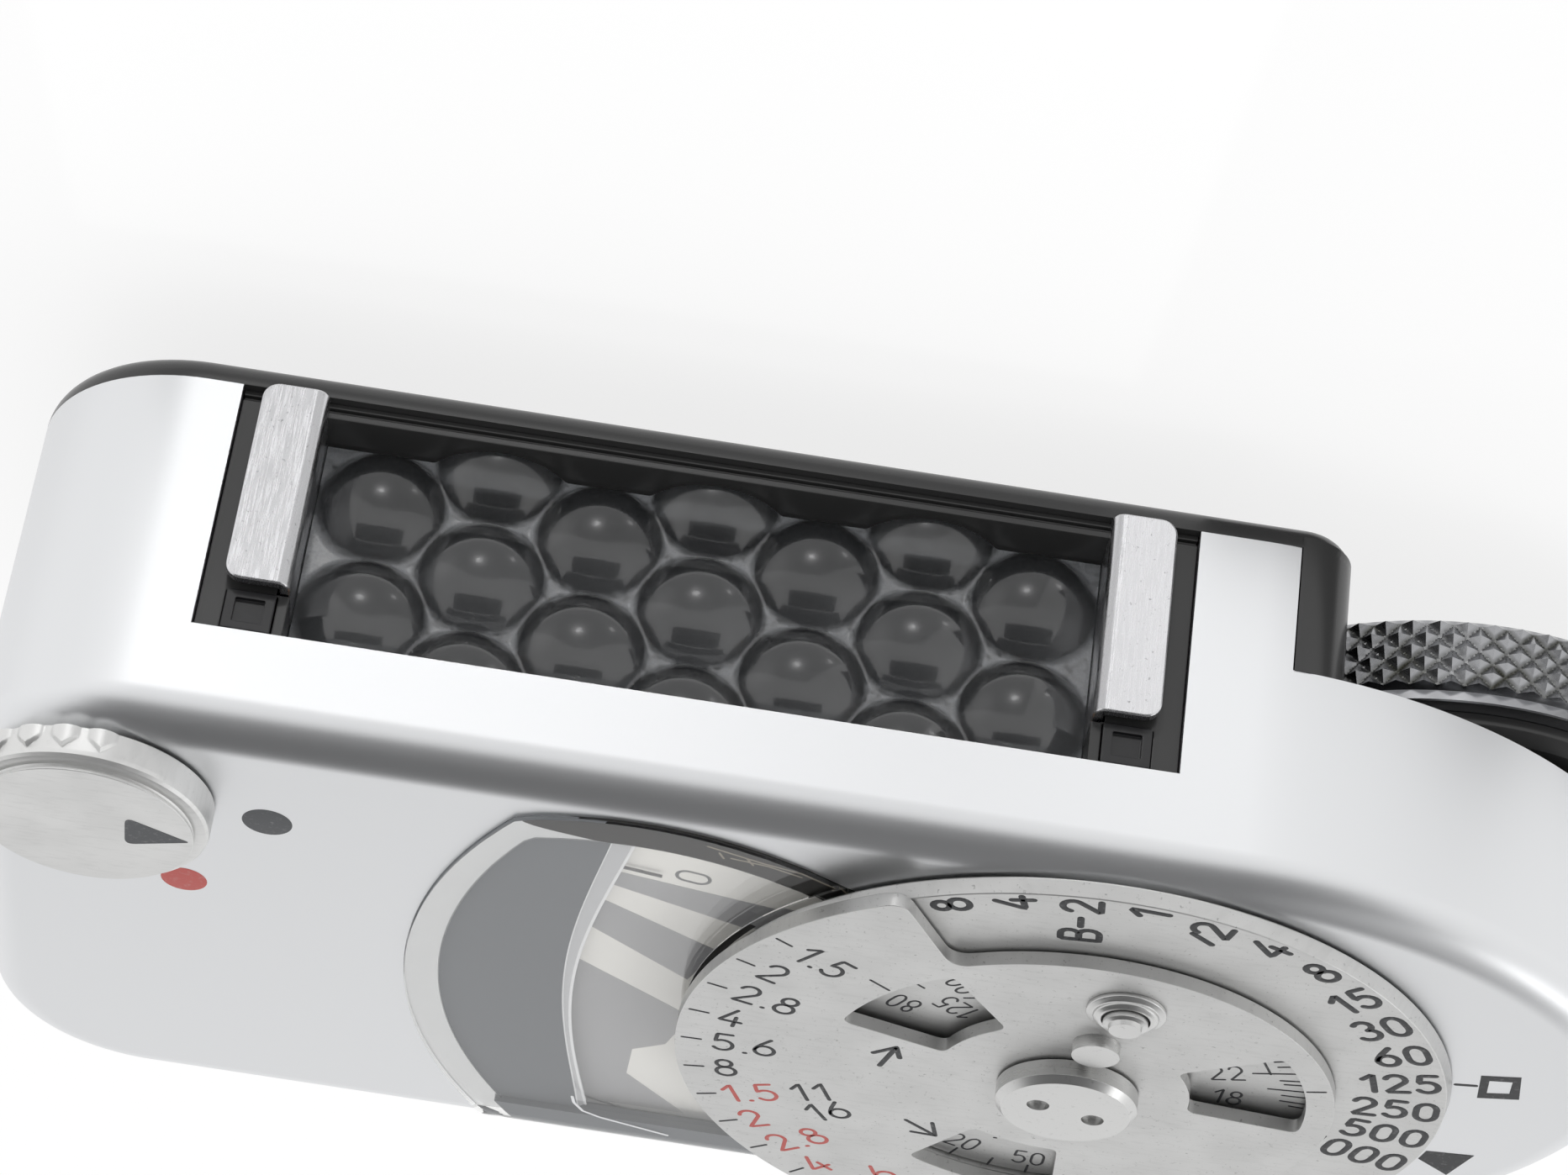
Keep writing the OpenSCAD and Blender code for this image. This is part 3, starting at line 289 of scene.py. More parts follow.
def wire(path, width, square, sides=8):
    """Round wire along a path that lies in one plane: rings of centre + width / 2 * (cos a * square + sin a * up).
    Here square is the plane's normal, and up is at right angles to it and to the path."""
    path, square = np.array(path, float), np.array(square, float)
    along = np.gradient(path, axis=0)
    up = np.cross(square, along / np.linalg.norm(along, axis=1)[:, None])
    a = np.linspace(0, 2 * math.pi, sides, endpoint=False)[None, :, None]
    return lofted(path[:, None] + width / 2 * (np.cos(a) * square + np.sin(a) * up[:, None]))


def fillet(before, corner, after, reach, count=7):
    """Rounded corner: the parabola (1 - s)^2 A + 2 s (1 - s) C + s^2 B between points A and B that lie reach from the
    corner C on its two sides."""
    before, corner, after = (np.array(p, float) for p in (before, corner, after))
    start = corner + (before - corner) / np.linalg.norm(before - corner) * reach
    end = corner + (after - corner) / np.linalg.norm(after - corner) * reach
    s = np.linspace(0, 1, count)[:, None]
    return (1 - s) ** 2 * start + 2 * s * (1 - s) * corner + s ** 2 * end


def smooth_line(knots, count=48):
    """Smooth line along knots: a polynomial of degree 4 at most in the share of its length, fitted to x and to y by
    least squares."""
    knots = np.array(knots, float)
    reach = distance(knots)
    s = np.linspace(0, 1, count)
    degree = min(4, len(knots) - 1)
    return np.stack([np.polyval(np.polyfit(reach / reach[-1], knots[:, i], degree), s) for i in (0, 1)], -1)


def slot_outline(centre, inner, outer, start, end, corner):
    """Outline between two circles and two angles, with its four corners rounded."""
    far = arc(centre, outer, start + math.degrees(corner / outer), end - math.degrees(corner / outer), 32)
    near = arc(centre, inner, end - math.degrees(corner / inner), start + math.degrees(corner / inner), 24)
    places = [around(centre, r, a) for r, a in ((outer, end), (inner, end), (inner, start), (outer, start))]
    return np.concatenate([far, fillet(far[-1], places[0], places[1], corner)[1:],
                           fillet(places[0], places[1], near[0], corner)[:-1], near,
                           fillet(near[-1], places[2], places[3], corner)[1:],
                           fillet(places[2], places[3], far[0], corner)[:-1]])


def rim_form(outer, inner, z0, z1):
    """A flat frame between two outlines of equally many points."""
    rings = np.array([at_level(outer, z0), at_level(outer, z1), at_level(inner, z1), at_level(inner, z0)])
    return rings.reshape(-1, 3), grid_faces(4, len(outer), wrap_rows=True)


# Engraved figures


def bow(cx, cy, rx, ry, start, end):
    """Part of an ellipse as a list of points."""
    a = np.radians(np.linspace(start, end, 15))
    return list(zip(cx + rx * np.cos(a), cy + ry * np.sin(a)))


FIGURES = {
    "0": [bow(0.3, 0.66, 0.27, 0.34, 0, 180) + bow(0.3, 0.34, 0.27, 0.34, 180, 360) + [(0.57, 0.66)]],
    "1": [[(0.08, 0.72), (0.36, 1.0), (0.36, 0.0)]],
    "2": [bow(0.3, 0.71, 0.27, 0.28, 165, -28) + [(0.03, 0.0), (0.6, 0.0)]],
    "3": [bow(0.28, 0.75, 0.24, 0.24, 150, -75), bow(0.28, 0.27, 0.29, 0.27, 75, -150)],
    "4": [[(0.42, 1.0), (0.02, 0.28), (0.64, 0.28)], [(0.46, 0.56), (0.46, 0.0)]],
    "5": [[(0.55, 1.0), (0.13, 1.0), (0.08, 0.55)] + bow(0.29, 0.32, 0.29, 0.31, 125, -145)],
    "6": [bow(0.3, 0.3, 0.28, 0.29, 0, 360), [(0.46, 1.0), (0.2, 0.68), (0.06, 0.45), (0.02, 0.3)]],
    "8": [bow(0.3, 0.76, 0.22, 0.22, -90, 270), bow(0.3, 0.27, 0.28, 0.27, 90, 450)],
    "B": [[(0.36, 0.53), (0.06, 0.53), (0.06, 1.0), (0.36, 1.0)] + bow(0.36, 0.765, 0.2, 0.235, 90, -90)
          + bow(0.38, 0.265, 0.22, 0.265, 90, -90) + [(0.06, 0.0), (0.06, 0.53)]],
    "-": [[(0.06, 0.5), (0.5, 0.5)]],
    "/": [[(0.1, 0.2), (0.4, 0.85)]],
    ".": [[(0.08, 0.0), (0.12, 0.0)]],
}
ADVANCE = {"1": 0.66, ".": 0.34, "-": 0.7, "/": 0.5}


def written(text, place, turn, height, align=0.0, narrow=1.0):
    """Stroke paths of a line of figures. It reads along the angle turn, align 0, 0.5 or 1 sets its start, middle or end
    on the place, and narrow is the figures' width over their usual width."""
    starts = np.r_[0, np.cumsum([ADVANCE.get(c, 0.84) for c in text])]
    width = starts[-1] - 0.24
    paths = []
    for figure, start in zip(text, starts):
        for stroke in FIGURES[figure]:
            cell = (np.array(stroke) + (start - align * width, -0.5)) * (height * narrow, height)
            paths.append(cell @ spin(turn) + place)
    return paths


def around(centre, radius, angle):
    """The point at a radius and an angle in degrees about a centre."""
    a = math.radians(angle)
    return np.array([centre[0] + radius * math.cos(a), centre[1] + radius * math.sin(a)])


def tick(start, end, angle):
    """A line between two radii of the dial at an angle in degrees."""
    return [around(DIAL, start, angle), around(DIAL, end, angle)]


# Pieces


def form_object(form, name="form"):
    """A mesh object in millimetres from a form, with its double points merged and its faces turned outwards."""
    points, faces = form
    mesh = bpy.data.meshes.new(name)
    mesh.from_pydata(np.asarray(points).tolist(), [], faces)
    work = bmesh.new()
    work.from_mesh(mesh)
    bmesh.ops.remove_doubles(work, verts=work.verts, dist=1e-5)
    bmesh.ops.recalc_face_normals(work, faces=work.faces)
    work.to_mesh(mesh)
    work.free()
    thing = bpy.data.objects.new(name, mesh)
    bpy.context.scene.collection.objects.link(thing)
    return thing


def carve(thing, forms, operation="DIFFERENCE"):
    """Takes each form or object out of an object in millimetres, or joins it, and keeps the result as its mesh."""
    tools = []
    for form in forms:
        tool = form if isinstance(form, bpy.types.Object) else form_object(form, "tool")
        step = thing.modifiers.new("carve", "BOOLEAN")
        step.operation = operation
        step.solver = "EXACT"
        step.object = tool
        tools.append(tool)
    graph = bpy.context.evaluated_depsgraph_get()
    result = bpy.data.meshes.new_from_object(thing.evaluated_get(graph))
    thing.modifiers.clear()
    thing.data = result
    for tool in tools:
        bpy.data.objects.remove(tool)
    if not result.polygons:
        raise RuntimeError("carving left nothing of " + thing.name)
    return thing


def soften(thing, width, angle=35, steps=2):
    """Breaks the sharp edges of an object in metres and evens its shading."""
    if width:
        edge = thing.modifiers.new("edge", "BEVEL")
        edge.width = width * MM
        edge.segments = steps
        edge.limit_method = "ANGLE"
        edge.angle_limit = math.radians(angle)
        edge.use_clamp_overlap = True
    even = thing.modifiers.new("even", "WEIGHTED_NORMAL")
    even.keep_sharp = True


def piece(name, form, body, material, stands_for=(), edge=0.0, angle=35, attribute=None):
    """A finished piece from a form or an object in millimetres: smooth, in metres, with its finish, on its body."""
    thing = form if isinstance(form, bpy.types.Object) else form_object(form, name)
    thing.name = thing.data.name = name
    if attribute is not None:
        layer = thing.data.attributes.new(attribute[0], "FLOAT", "POINT")
        place = np.empty(len(thing.data.vertices) * 3)
        thing.data.vertices.foreach_get("co", place)
        layer.data.foreach_set("value", attribute[1](place.reshape(-1, 3)).astype(np.float32))
    thing.data.transform(Matrix.Scale(MM, 4))
    thing.data.polygons.foreach_set("use_smooth", [True] * len(thing.data.polygons))
    thing.data.set_sharp_from_angle(angle=math.radians(angle))
    thing.data.materials.clear()
    thing.data.materials.append(material)
    soften(thing, edge, angle)
    if stands_for:
        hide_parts(*stands_for)
    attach(thing, body)
    return thing


def kept(node, material, edge=0.0):
    """Gives a CAD node its finish and, with an edge width, breaks its sharp edges."""
    thing = frame["nodes"][node]
    for holder in thing.material_slots:
        holder.material = material
    if edge:
        weld = thing.modifiers.new("weld", "WELD")
        weld.merge_threshold = 0.001 * MM
        soften(thing, edge)


# Finishes


def add(material, kind, inputs=(), out=0, **settings):
    """Adds a shader node with its settings. Its inputs, by place or by name, take a value, a colour or an output to
    link from. Returns the output asked for."""
    node = material.node_tree.nodes.new("ShaderNode" + kind)
    for name, value in settings.items():
        setattr(node, name, value)
    for place, value in inputs.items() if isinstance(inputs, dict) else enumerate(inputs):
        if isinstance(value, bpy.types.NodeSocket):
            material.node_tree.links.new(value, node.inputs[place])
        elif node.inputs[place].type == "RGBA":
            node.inputs[place].default_value = (*value, 1)
        else:
            node.inputs[place].default_value = value
    return node.outputs[out]


def finish(name, base, metallic=0.0, roughness=0.5, **values):
    """A material with its shader's uniform values set on the sockets, and its Object coordinates."""
    material = bpy.data.materials.new(name)
    material.use_nodes = True
    shader = material.node_tree.nodes["Principled BSDF"]
    shader.inputs["Base Color"].default_value = (*base, 1)
    shader.inputs["Metallic"].default_value = metallic
    shader.inputs["Roughness"].default_value = roughness
    for socket, value in values.items():
        shader.inputs[socket.replace("_", " ")].default_value = value
    return material, shader, add(material, "TexCoord", out="Object")


def link(material, output, shader, socket):
    """Links an output to a shader's socket."""
    material.node_tree.links.new(output, shader.inputs[socket])


def per_mm(size):
    """Noise scale whose spots measure size millimetres."""
    return 1 / (size * MM)


def darker(base, share):
    """A colour brought down to a share of itself."""
    return tuple(share * c for c in base)


def satin_chrome(colours):
    """Brass blasted with fine grit and chromed: the grit's pits scatter each highlight into a fine sparkle, and patches
    polished by handling are a little glossier."""
    material, shader, place = finish("satin_chrome", colours.chrome, 1.0, 0.38)
    handled = add(material, "TexNoise", {"Vector": place, "Scale": per_mm(6.0), "Detail": 3})
    link(material, add(material, "MapRange", (handled, 0.3, 0.7, 0.40, 0.47)), shader, "Roughness")
    # The real grit is near 0.05 mm: it is drawn at 0.2 mm, so that it still shows
    grit = add(material, "TexNoise", {"Vector": place, "Scale": per_mm(0.2), "Detail": 2})
    tone = add(material, "MapRange", (grit, 0.35, 0.7, 0, 1))
    link(material, add(material, "Mix", {0: tone, 6: darker(colours.chrome, 0.8), 7: darker(colours.chrome, 1.04)}, 2,
                       data_type="RGBA"), shader, "Base Color")
    pits = add(material, "Bump", {"Height": grit, "Distance": 0.022 * MM, "Strength": 0.8})
    waves = add(material, "TexNoise", {"Vector": place, "Scale": per_mm(1.6)})
    link(material, add(material, "Bump", {"Height": waves, "Distance": 0.002 * MM, "Strength": 0.4, "Normal": pits}),
         shader, "Normal")
    return material


def silvered_plate(base, name="silvered_plate", tarnish=0.8):
    """Brass plate silvered by rubbing: matt and pale, with tiny dark specks of tarnish and faint wipe marks."""
    material, shader, place = finish(name, base, 0.85, 0.42)
    spots = add(material, "TexNoise", {"Vector": place, "Scale": per_mm(0.2), "Detail": 3, "Roughness": 0.7})
    spotted = add(material, "Mix", {0: add(material, "MapRange", (spots, 0.62, 0.74, 0, tarnish)), 6: base,
                                    7: darker(base, 0.4)}, 2, data_type="RGBA")
    along = add(material, "Mapping", {"Vector": place, "Scale": (1, 5, 1)})
    wiped = add(material, "TexNoise", {"Vector": along, "Scale": per_mm(1.1), "Detail": 4})
    link(material, add(material, "Mix", {0: add(material, "MapRange", (wiped, 0.5, 0.8, 0, 0.35)), 6: spotted,
                                         7: darker(base, 0.75)}, 2, data_type="RGBA"), shader, "Base Color")
    rubbed = add(material, "TexNoise", {"Vector": place, "Scale": per_mm(2.5)})
    link(material, add(material, "MapRange", (rubbed, 0.3, 0.7, 0.39, 0.47)), shader, "Roughness")
    tooth = add(material, "TexNoise", {"Vector": place, "Scale": per_mm(0.12)})
    link(material, add(material, "Bump", {"Height": tooth, "Distance": 0.003 * MM, "Strength": 0.5}), shader, "Normal")
    return material


def turned_silver(colours):
    """Silvered brass left from the lathe: tool marks, level by level, dull the highlight, and stains sit in them."""
    material, shader, place = finish("turned_silver", colours.silver, 0.95, 0.3)
    level = add(material, "Mapping", {"Vector": place, "Scale": (0.3, 0.3, 60)})
    marks = add(material, "TexNoise", {"Vector": level, "Scale": per_mm(3.0), "Detail": 1})
    link(material, add(material, "MapRange", (marks, 0.3, 0.7, 0.27, 0.34)), shader, "Roughness")
    stains = add(material, "TexNoise", {"Vector": place, "Scale": per_mm(0.3), "Detail": 4, "Roughness": 0.65})
    link(material, add(material, "Mix", {0: add(material, "MapRange", (stains, 0.60, 0.78, 0, 0.6)),
                                         6: colours.silver, 7: darker(colours.silver, 0.45)}, 2, data_type="RGBA"),
         shader, "Base Color")
    tooth = add(material, "TexNoise", {"Vector": place, "Scale": per_mm(0.15)})
    link(material, add(material, "Bump", {"Height": tooth, "Distance": 0.0015 * MM, "Strength": 0.4}), shader, "Normal")
    return material


def bright_nickel(colours):
    """Folded sheet, nickel plated and brushed along its length: long fine scratches in a soft mirror, with small dark
    pits in the plating."""
    material, shader, place = finish("bright_nickel", colours.nickel, 1.0, 0.25)
    along = add(material, "Mapping", {"Vector": place, "Scale": (8, 8, 0.4)})
    scratches = add(material, "TexNoise", {"Vector": along, "Scale": per_mm(0.5), "Detail": 3})
    link(material, add(material, "MapRange", (scratches, 0.35, 0.7, 0.20, 0.34)), shader, "Roughness")
    pits = add(material, "TexNoise", {"Vector": place, "Scale": per_mm(0.25), "Detail": 3, "Roughness": 0.7})
    link(material, add(material, "Mix", {0: add(material, "MapRange", (pits, 0.63, 0.74, 0, 0.8)), 6: colours.nickel,
                                         7: darker(colours.nickel, 0.4)}, 2, data_type="RGBA"), shader, "Base Color")
    link(material, add(material, "Bump", {"Height": scratches, "Distance": 0.002 * MM, "Strength": 0.4}), shader,
         "Normal")
    return material


def knurled_chrome(colours):
    """Chromed knurl, dulled by handling: greenish grime is pressed into the grooves in places."""
    chrome = darker(colours.chrome, 0.62)
    material, shader, place = finish("knurled_chrome", chrome, 1.0, 0.26)
    groove = add(material, "Attribute", out="Fac", attribute_name="groove")
    patches = add(material, "TexNoise", {"Vector": place, "Scale": per_mm(2.5), "Detail": 3})
    grime = add(material, "Math", (add(material, "MapRange", (groove, 0.55, 0.95, 0, 1)),
                                   add(material, "MapRange", (patches, 0.4, 0.7, 0.25, 1))), operation="MULTIPLY")
    link(material, add(material, "Mix", {0: grime, 6: chrome, 7: linear("3E3E2C")}, 2, data_type="RGBA"),
         shader, "Base Color")
    link(material, add(material, "MapRange", (grime, 0, 1, 0.24, 0.7)), shader, "Roughness")
    wear = add(material, "TexNoise", {"Vector": place, "Scale": per_mm(0.25), "Detail": 3})
    link(material, add(material, "Bump", {"Height": wear, "Distance": 0.006 * MM, "Strength": 0.5}), shader, "Normal")
    return material


def black_plastic(colours):
    """Moulded phenolic with its mould gloss: dust specks and rubbed spots lie on a nearly black shine."""
    material, shader, place = finish("black_plastic", colours.plastic, 0.0, 0.2)
    specks = add(material, "TexNoise", {"Vector": place, "Scale": per_mm(0.1), "Detail": 1, "Roughness": 0.8})
    link(material, add(material, "Mix", {0: add(material, "MapRange", (specks, 0.68, 0.76, 0, 0.7)),
                                         6: colours.plastic, 7: linear("8C8678")}, 2, data_type="RGBA"),
         shader, "Base Color")
    rubbed = add(material, "TexNoise", {"Vector": place, "Scale": per_mm(2.0), "Detail": 4})
    link(material, add(material, "MapRange", (rubbed, 0.35, 0.7, 0.14, 0.36)), shader, "Roughness")
    flow = add(material, "TexNoise", {"Vector": place, "Scale": per_mm(0.6)})
    link(material, add(material, "Bump", {"Height": flow, "Distance": 0.004 * MM, "Strength": 0.4}), shader, "Normal")
    return material


def black_paint(colours):
    """Stoved black paint on brass: duller than the plastic, with a fine orange-peel."""
    material, shader, place = finish("black_paint", colours.plastic, 0.0, 0.4)
    clouds = add(material, "TexNoise", {"Vector": place, "Scale": per_mm(1.0), "Detail": 3})
    link(material, add(material, "MapRange", (clouds, 0.3, 0.7, 0.34, 0.5)), shader, "Roughness")
    peel = add(material, "TexNoise", {"Vector": place, "Scale": per_mm(0.4)})
    link(material, add(material, "Bump", {"Height": peel, "Distance": 0.006 * MM, "Strength": 0.5}), shader, "Normal")
    return material


def clear_plastic(name):
    """Clear moulded polystyrene: a clear gloss, hazed in patches by age, with a slight wave from the mould."""
    material, shader, place = finish(name, linear("F6F6F5"), 0.0, 0.03, Transmission_Weight=1.0, IOR=1.59)
    haze = add(material, "TexNoise", {"Vector": place, "Scale": per_mm(0.8), "Detail": 4})
    link(material, add(material, "MapRange", (haze, 0.4, 0.8, 0.02, 0.08)), shader, "Roughness")
    wave = add(material, "TexNoise", {"Vector": place, "Scale": per_mm(3.0)})
    link(material, add(material, "Bump", {"Height": wave, "Distance": 0.01 * MM, "Strength": 0.4}), shader, "Normal")
    return material


def dusty_lens(colours):
    """Clear polystyrene honeycomb: gloss with a soft bloom of fine scratches, and pale dust and yellowish specks caught
    in the grooves between the domes."""
    clear = linear("F3F6F9")
    material, shader, place = finish("clear_lens", clear, 0.0, 0.28, Transmission_Weight=1.0, IOR=1.5,
                                     Coat_Weight=1.0, Coat_Roughness=0.07)
    groove = add(material, "Attribute", out="Fac", attribute_name="groove")
    clouds = add(material, "TexNoise", {"Vector": place, "Scale": per_mm(0.45), "Detail": 4, "Roughness": 0.7})
    dust = add(material, "Math", (add(material, "MapRange", (groove, 0.45, 1, 0, 1)),
                                  add(material, "MapRange", (clouds, 0.35, 0.75, 0.1, 1))), operation="MULTIPLY")
    grains = add(material, "TexNoise", {"Vector": place, "Scale": per_mm(0.11), "Roughness": 0.7})
    specks = add(material, "Math", (add(material, "MapRange", (groove, 0.1, 0.6, 0.25, 1)),
                                    add(material, "MapRange", (grains, 0.70, 0.76, 0, 1))), operation="MULTIPLY")
    tint = add(material, "Mix", {0: dust, 6: clear, 7: colours.dust}, 2, data_type="RGBA")
    link(material, add(material, "Mix", {0: specks, 6: tint, 7: linear("A79C7C")}, 2, data_type="RGBA"), shader,
         "Base Color")
    cover = add(material, "Math", (dust, specks), operation="MAXIMUM")
    link(material, add(material, "MapRange", (cover, 0, 1, 1, 0.45)), shader, "Transmission Weight")
    link(material, add(material, "MapRange", (cover, 0, 0.6, 0.28, 0.6)), shader, "Roughness")
    scratches = add(material, "TexNoise", {"Vector": place, "Scale": per_mm(0.3), "Detail": 3})
    link(material, add(material, "Bump", {"Height": scratches, "Distance": 0.0015 * MM, "Strength": 0.2}), shader,
         "Normal")
    return material


def selenium_coat(colours):
    """Selenium layer under its thin electrode: nearly black with a blue cast, cloudy, with a soft shine."""
    material, shader, place = finish("selenium_coat", colours.cell, 0.0, 0.35, Specular_IOR_Level=0.25)
    cloud = add(material, "TexNoise", {"Vector": place, "Scale": per_mm(2.2), "Detail": 3})
    link(material, add(material, "Mix", {0: cloud, 6: darker(colours.cell, 0.7), 7: darker(colours.cell, 1.3)}, 2,
                       data_type="RGBA"), shader, "Base Color")
    grain = add(material, "TexNoise", {"Vector": place, "Scale": per_mm(0.15)})
    link(material, add(material, "Bump", {"Height": grain, "Distance": 0.003 * MM, "Strength": 0.5}), shader, "Normal")
    return material


def fill_paint(name, base):
    """Paint rubbed into engraving: matt, thin and pale in places."""
    material, shader, place = finish(name, base, 0.0, 0.5)
    thin = add(material, "TexNoise", {"Vector": place, "Scale": per_mm(0.25), "Detail": 3, "Roughness": 0.7})
    link(material, add(material, "Mix", {0: add(material, "MapRange", (thin, 0.55, 0.8, 0, 0.5)), 6: base,
                                         7: [0.5 * (c + 0.5) for c in base]}, 2, data_type="RGBA"), shader,
         "Base Color")
    lumps = add(material, "TexNoise", {"Vector": place, "Scale": per_mm(0.12)})
    link(material, add(material, "Bump", {"Height": lumps, "Distance": 0.006 * MM, "Strength": 0.6}), shader, "Normal")
    return material


def printed_card(name, base):
    """Printed card or painted tin of the scale: even and matt, with a faint mottle."""
    material, shader, place = finish(name, base, 0.0, 0.6)
    mottle = add(material, "TexNoise", {"Vector": place, "Scale": per_mm(0.5), "Detail": 4})
    link(material, add(material, "Mix", {0: mottle, 6: darker(base, 0.94), 7: base}, 2, data_type="RGBA"), shader,
         "Base Color")
    tooth = add(material, "TexNoise", {"Vector": place, "Scale": per_mm(0.6)})
    link(material, add(material, "Bump", {"Height": tooth, "Distance": 0.002 * MM, "Strength": 0.2}), shader, "Normal")
    return material


def worked_metal(name, base, roughness, grain, stretch=(1, 1, 1)):
    """Bare or plated metal as its tool left it: the grain varies its gloss and marks its surface, and tarnish dulls it
    in clouds."""
    material, shader, place = finish(name, base, 1.0, roughness)
    along = add(material, "Mapping", {"Vector": place, "Scale": stretch})
    marks = add(material, "TexNoise", {"Vector": along, "Scale": per_mm(grain), "Detail": 3})
    link(material, add(material, "MapRange", (marks, 0.3, 0.7, roughness * 0.75, roughness * 1.25)), shader,
         "Roughness")
    clouds = add(material, "TexNoise", {"Vector": place, "Scale": per_mm(1.8), "Detail": 4})
    link(material, add(material, "Mix", {0: add(material, "MapRange", (clouds, 0.5, 0.75, 0, 0.7)), 6: base,
                                         7: darker(base, 0.6)}, 2, data_type="RGBA"), shader, "Base Color")
    link(material, add(material, "Bump", {"Height": marks, "Distance": 0.003 * MM, "Strength": 0.5}), shader, "Normal")
    return material


def dull_stuff(name, base, roughness, grain):
    """Board, ceramic, lacquer or lead insulation: one colour broken by its own grain."""
    material, shader, place = finish(name, base, 0.0, roughness)
    marks = add(material, "TexNoise", {"Vector": place, "Scale": per_mm(grain), "Detail": 4})
    link(material, add(material, "Mix", {0: marks, 6: darker(base, 0.7), 7: darker(base, 1.25)}, 2, data_type="RGBA"),
         shader, "Base Color")
    link(material, add(material, "Bump", {"Height": marks, "Distance": 0.01 * MM, "Strength": 0.5}), shader, "Normal")
    return material


def shared(name, maker, *values):
    """The finish of that name, made once."""
    found = bpy.data.materials.get(name)
    if found is None:
        found = maker(*values)
    return found


def paint(colours, name):
    """The paint in the engraving: black_fill, grey_fill or red_fill."""
    return shared(name, fill_paint, name, getattr(colours, name))


# Operators


class StageBuild(bpy.types.Operator):
    """Floor, soft studio light and the camera at the photograph's angle"""

    bl_idname = "meter.build_stage"
    bl_label = "Stage"

    camera_place = (2.12133, 175.87056, 108.41230)
    camera_turn = (-58.20964715, 6.99934783, 5.30778635)
    camera_lens = 106.205
    aim = (0, 0, 12)

    def execute(self, context):
        colours = context.scene.meter_colours
        scene = context.scene
        scene.view_settings.view_transform = "Standard"
        camera = bpy.data.objects.new("camera", bpy.data.cameras.new("camera"))
        camera.location = Vector(self.camera_place) * MM
        camera.rotation_euler = Euler([math.radians(a) for a in self.camera_turn])
        camera.data.lens = self.camera_lens
        camera.data.sensor_width = 36
        camera.data.clip_start = 0.005
        camera.data.clip_end = 20
        scene.collection.objects.link(camera)
        scene.camera = camera
        self.floor(colours)
        self.world(scene)
        # Name, place, diameter and power. The floor throws no shadow, so the lamps below it light the object too
        self.lamp(scene, "key", (-55, 350, -205), 52, 0.14)
        self.lamp(scene, "fill", (-330, 230, -150), 240, 0.12)
        self.lamp(scene, "second", (194, 207, -281), 40, 0.02)
        self.lamp(scene, "sky", (330, -40, 380), 260, 0.40)
        self.card("overhead_card", [(-300, -230, 290), (300, -230, 290), (300, 230, 270), (-300, 230, 270)])
        self.card("front_card", [(-300, 400, 175), (300, 400, 175), (300, 300, 340), (-300, 300, 340)])
        self.card("low_card", [(22, 16, 0.5), (52, 16, 0.5), (52, 24, 0.5), (22, 24, 0.5)])
        self.card("grey_card", [(-26, 19, 0.4), (18, 19, 0.4), (26, 160, 0.4), (-40, 160, 0.4)], 0.62)
        return {"FINISHED"}

    def seen(self, tree):
        """1 for rays that show the background directly, mirrored or through glass, and 0 for light on the object."""
        direct = add(tree, "Math", (add(tree, "LightPath", out="Is Camera Ray"),
                                    add(tree, "LightPath", out="Is Glossy Ray")), operation="MAXIMUM")
        return add(tree, "Math", (direct, add(tree, "LightPath", out="Is Transmission Ray")), operation="MAXIMUM")

    def flat(self, name, corners, material):
        """A four-cornered sheet of the stage."""
        sheet = form_object((np.array(corners, float), [[0, 1, 2, 3]]), name)
        sheet.data.transform(Matrix.Scale(MM, 4))
        sheet.data.materials.append(material)
        return sheet

    def floor(self, colours):
        """Flat square at height 0. Where it is seen, part of its colour glows, so it is white with soft shadows."""
        material, shader, _ = finish("floor", colours.floor, 0.0, 0.9, Emission_Color=(1, 1, 1, 1))
        seen = self.seen(material)
        link(material, add(material, "Mix", {0: seen, 6: colours.floor, 7: darker(colours.floor, 0.22)}, 2,
                           data_type="RGBA"), shader, "Base Color")
        link(material, add(material, "MapRange", (seen, 0, 1, 0, 0.80)), shader, "Emission Strength")
        half = 1500
        sheet = self.flat("floor", [(x, y, 0) for x, y in ((-half, -half), (half, -half), (half, half),
                                                           (-half, half))], material)
        sheet.visible_shadow = False

    def card(self, name, corners, glow=0.08):
        """A card seen only by the gloss of the object. Those overhead and in front draw the dark line along the rounded
        edges and the dark halves of the domes, the low one darkens the wheel's rim, and the grey one lets the key lamp
        model the front wall."""
        material = finish(name, linear("2A2A2C"), 0.0, 0.9, Emission_Color=(1, 1, 1, 1), Emission_Strength=glow)[0]
        sheet = self.flat(name, corners, material)
        for ray in ("camera", "diffuse", "transmission", "volume_scatter", "shadow"):
            setattr(sheet, "visible_" + ray, False)

    def world(self, scene):
        """White where it is seen, and an even soft grey-white for the light."""
        world = bpy.data.worlds.new("studio")
        world.use_nodes = True
        scene.world = world
        ground = world.node_tree.nodes["Background"]
        ground.inputs["Color"].default_value = (1, 1, 1, 1)
        link(world, add(world, "MapRange", (self.seen(world), 0, 1, 0.84, 1)), ground, "Strength")

    def lamp(self, scene, name, place, size, watts):
        """A soft disc of light, size millimetres across, that faces the object."""
        data = bpy.data.lights.new(name, "AREA")
        data.shape = "DISK"
        data.size = size * MM
        data.energy = watts
        lamp = bpy.data.objects.new(name, data)
        lamp.location = Vector(place) * MM
        aim = Vector(self.aim) * MM - lamp.location
        lamp.rotation_euler = aim.to_track_quat("-Z", "Y").to_euler()
        lamp.visible_camera = False
        scene.collection.objects.link(lamp)


def left_corners(body, inset):
    """The two left corners of the plan of the cover and of the base, from the rear to the front."""
    corner = mm(body.corner)
    return [arc((LEFT + corner, REAR + corner), corner - inset, 270, 180, 24),
            arc((LEFT + corner, FRONT - corner), corner - inset, 180, 90, 24)]


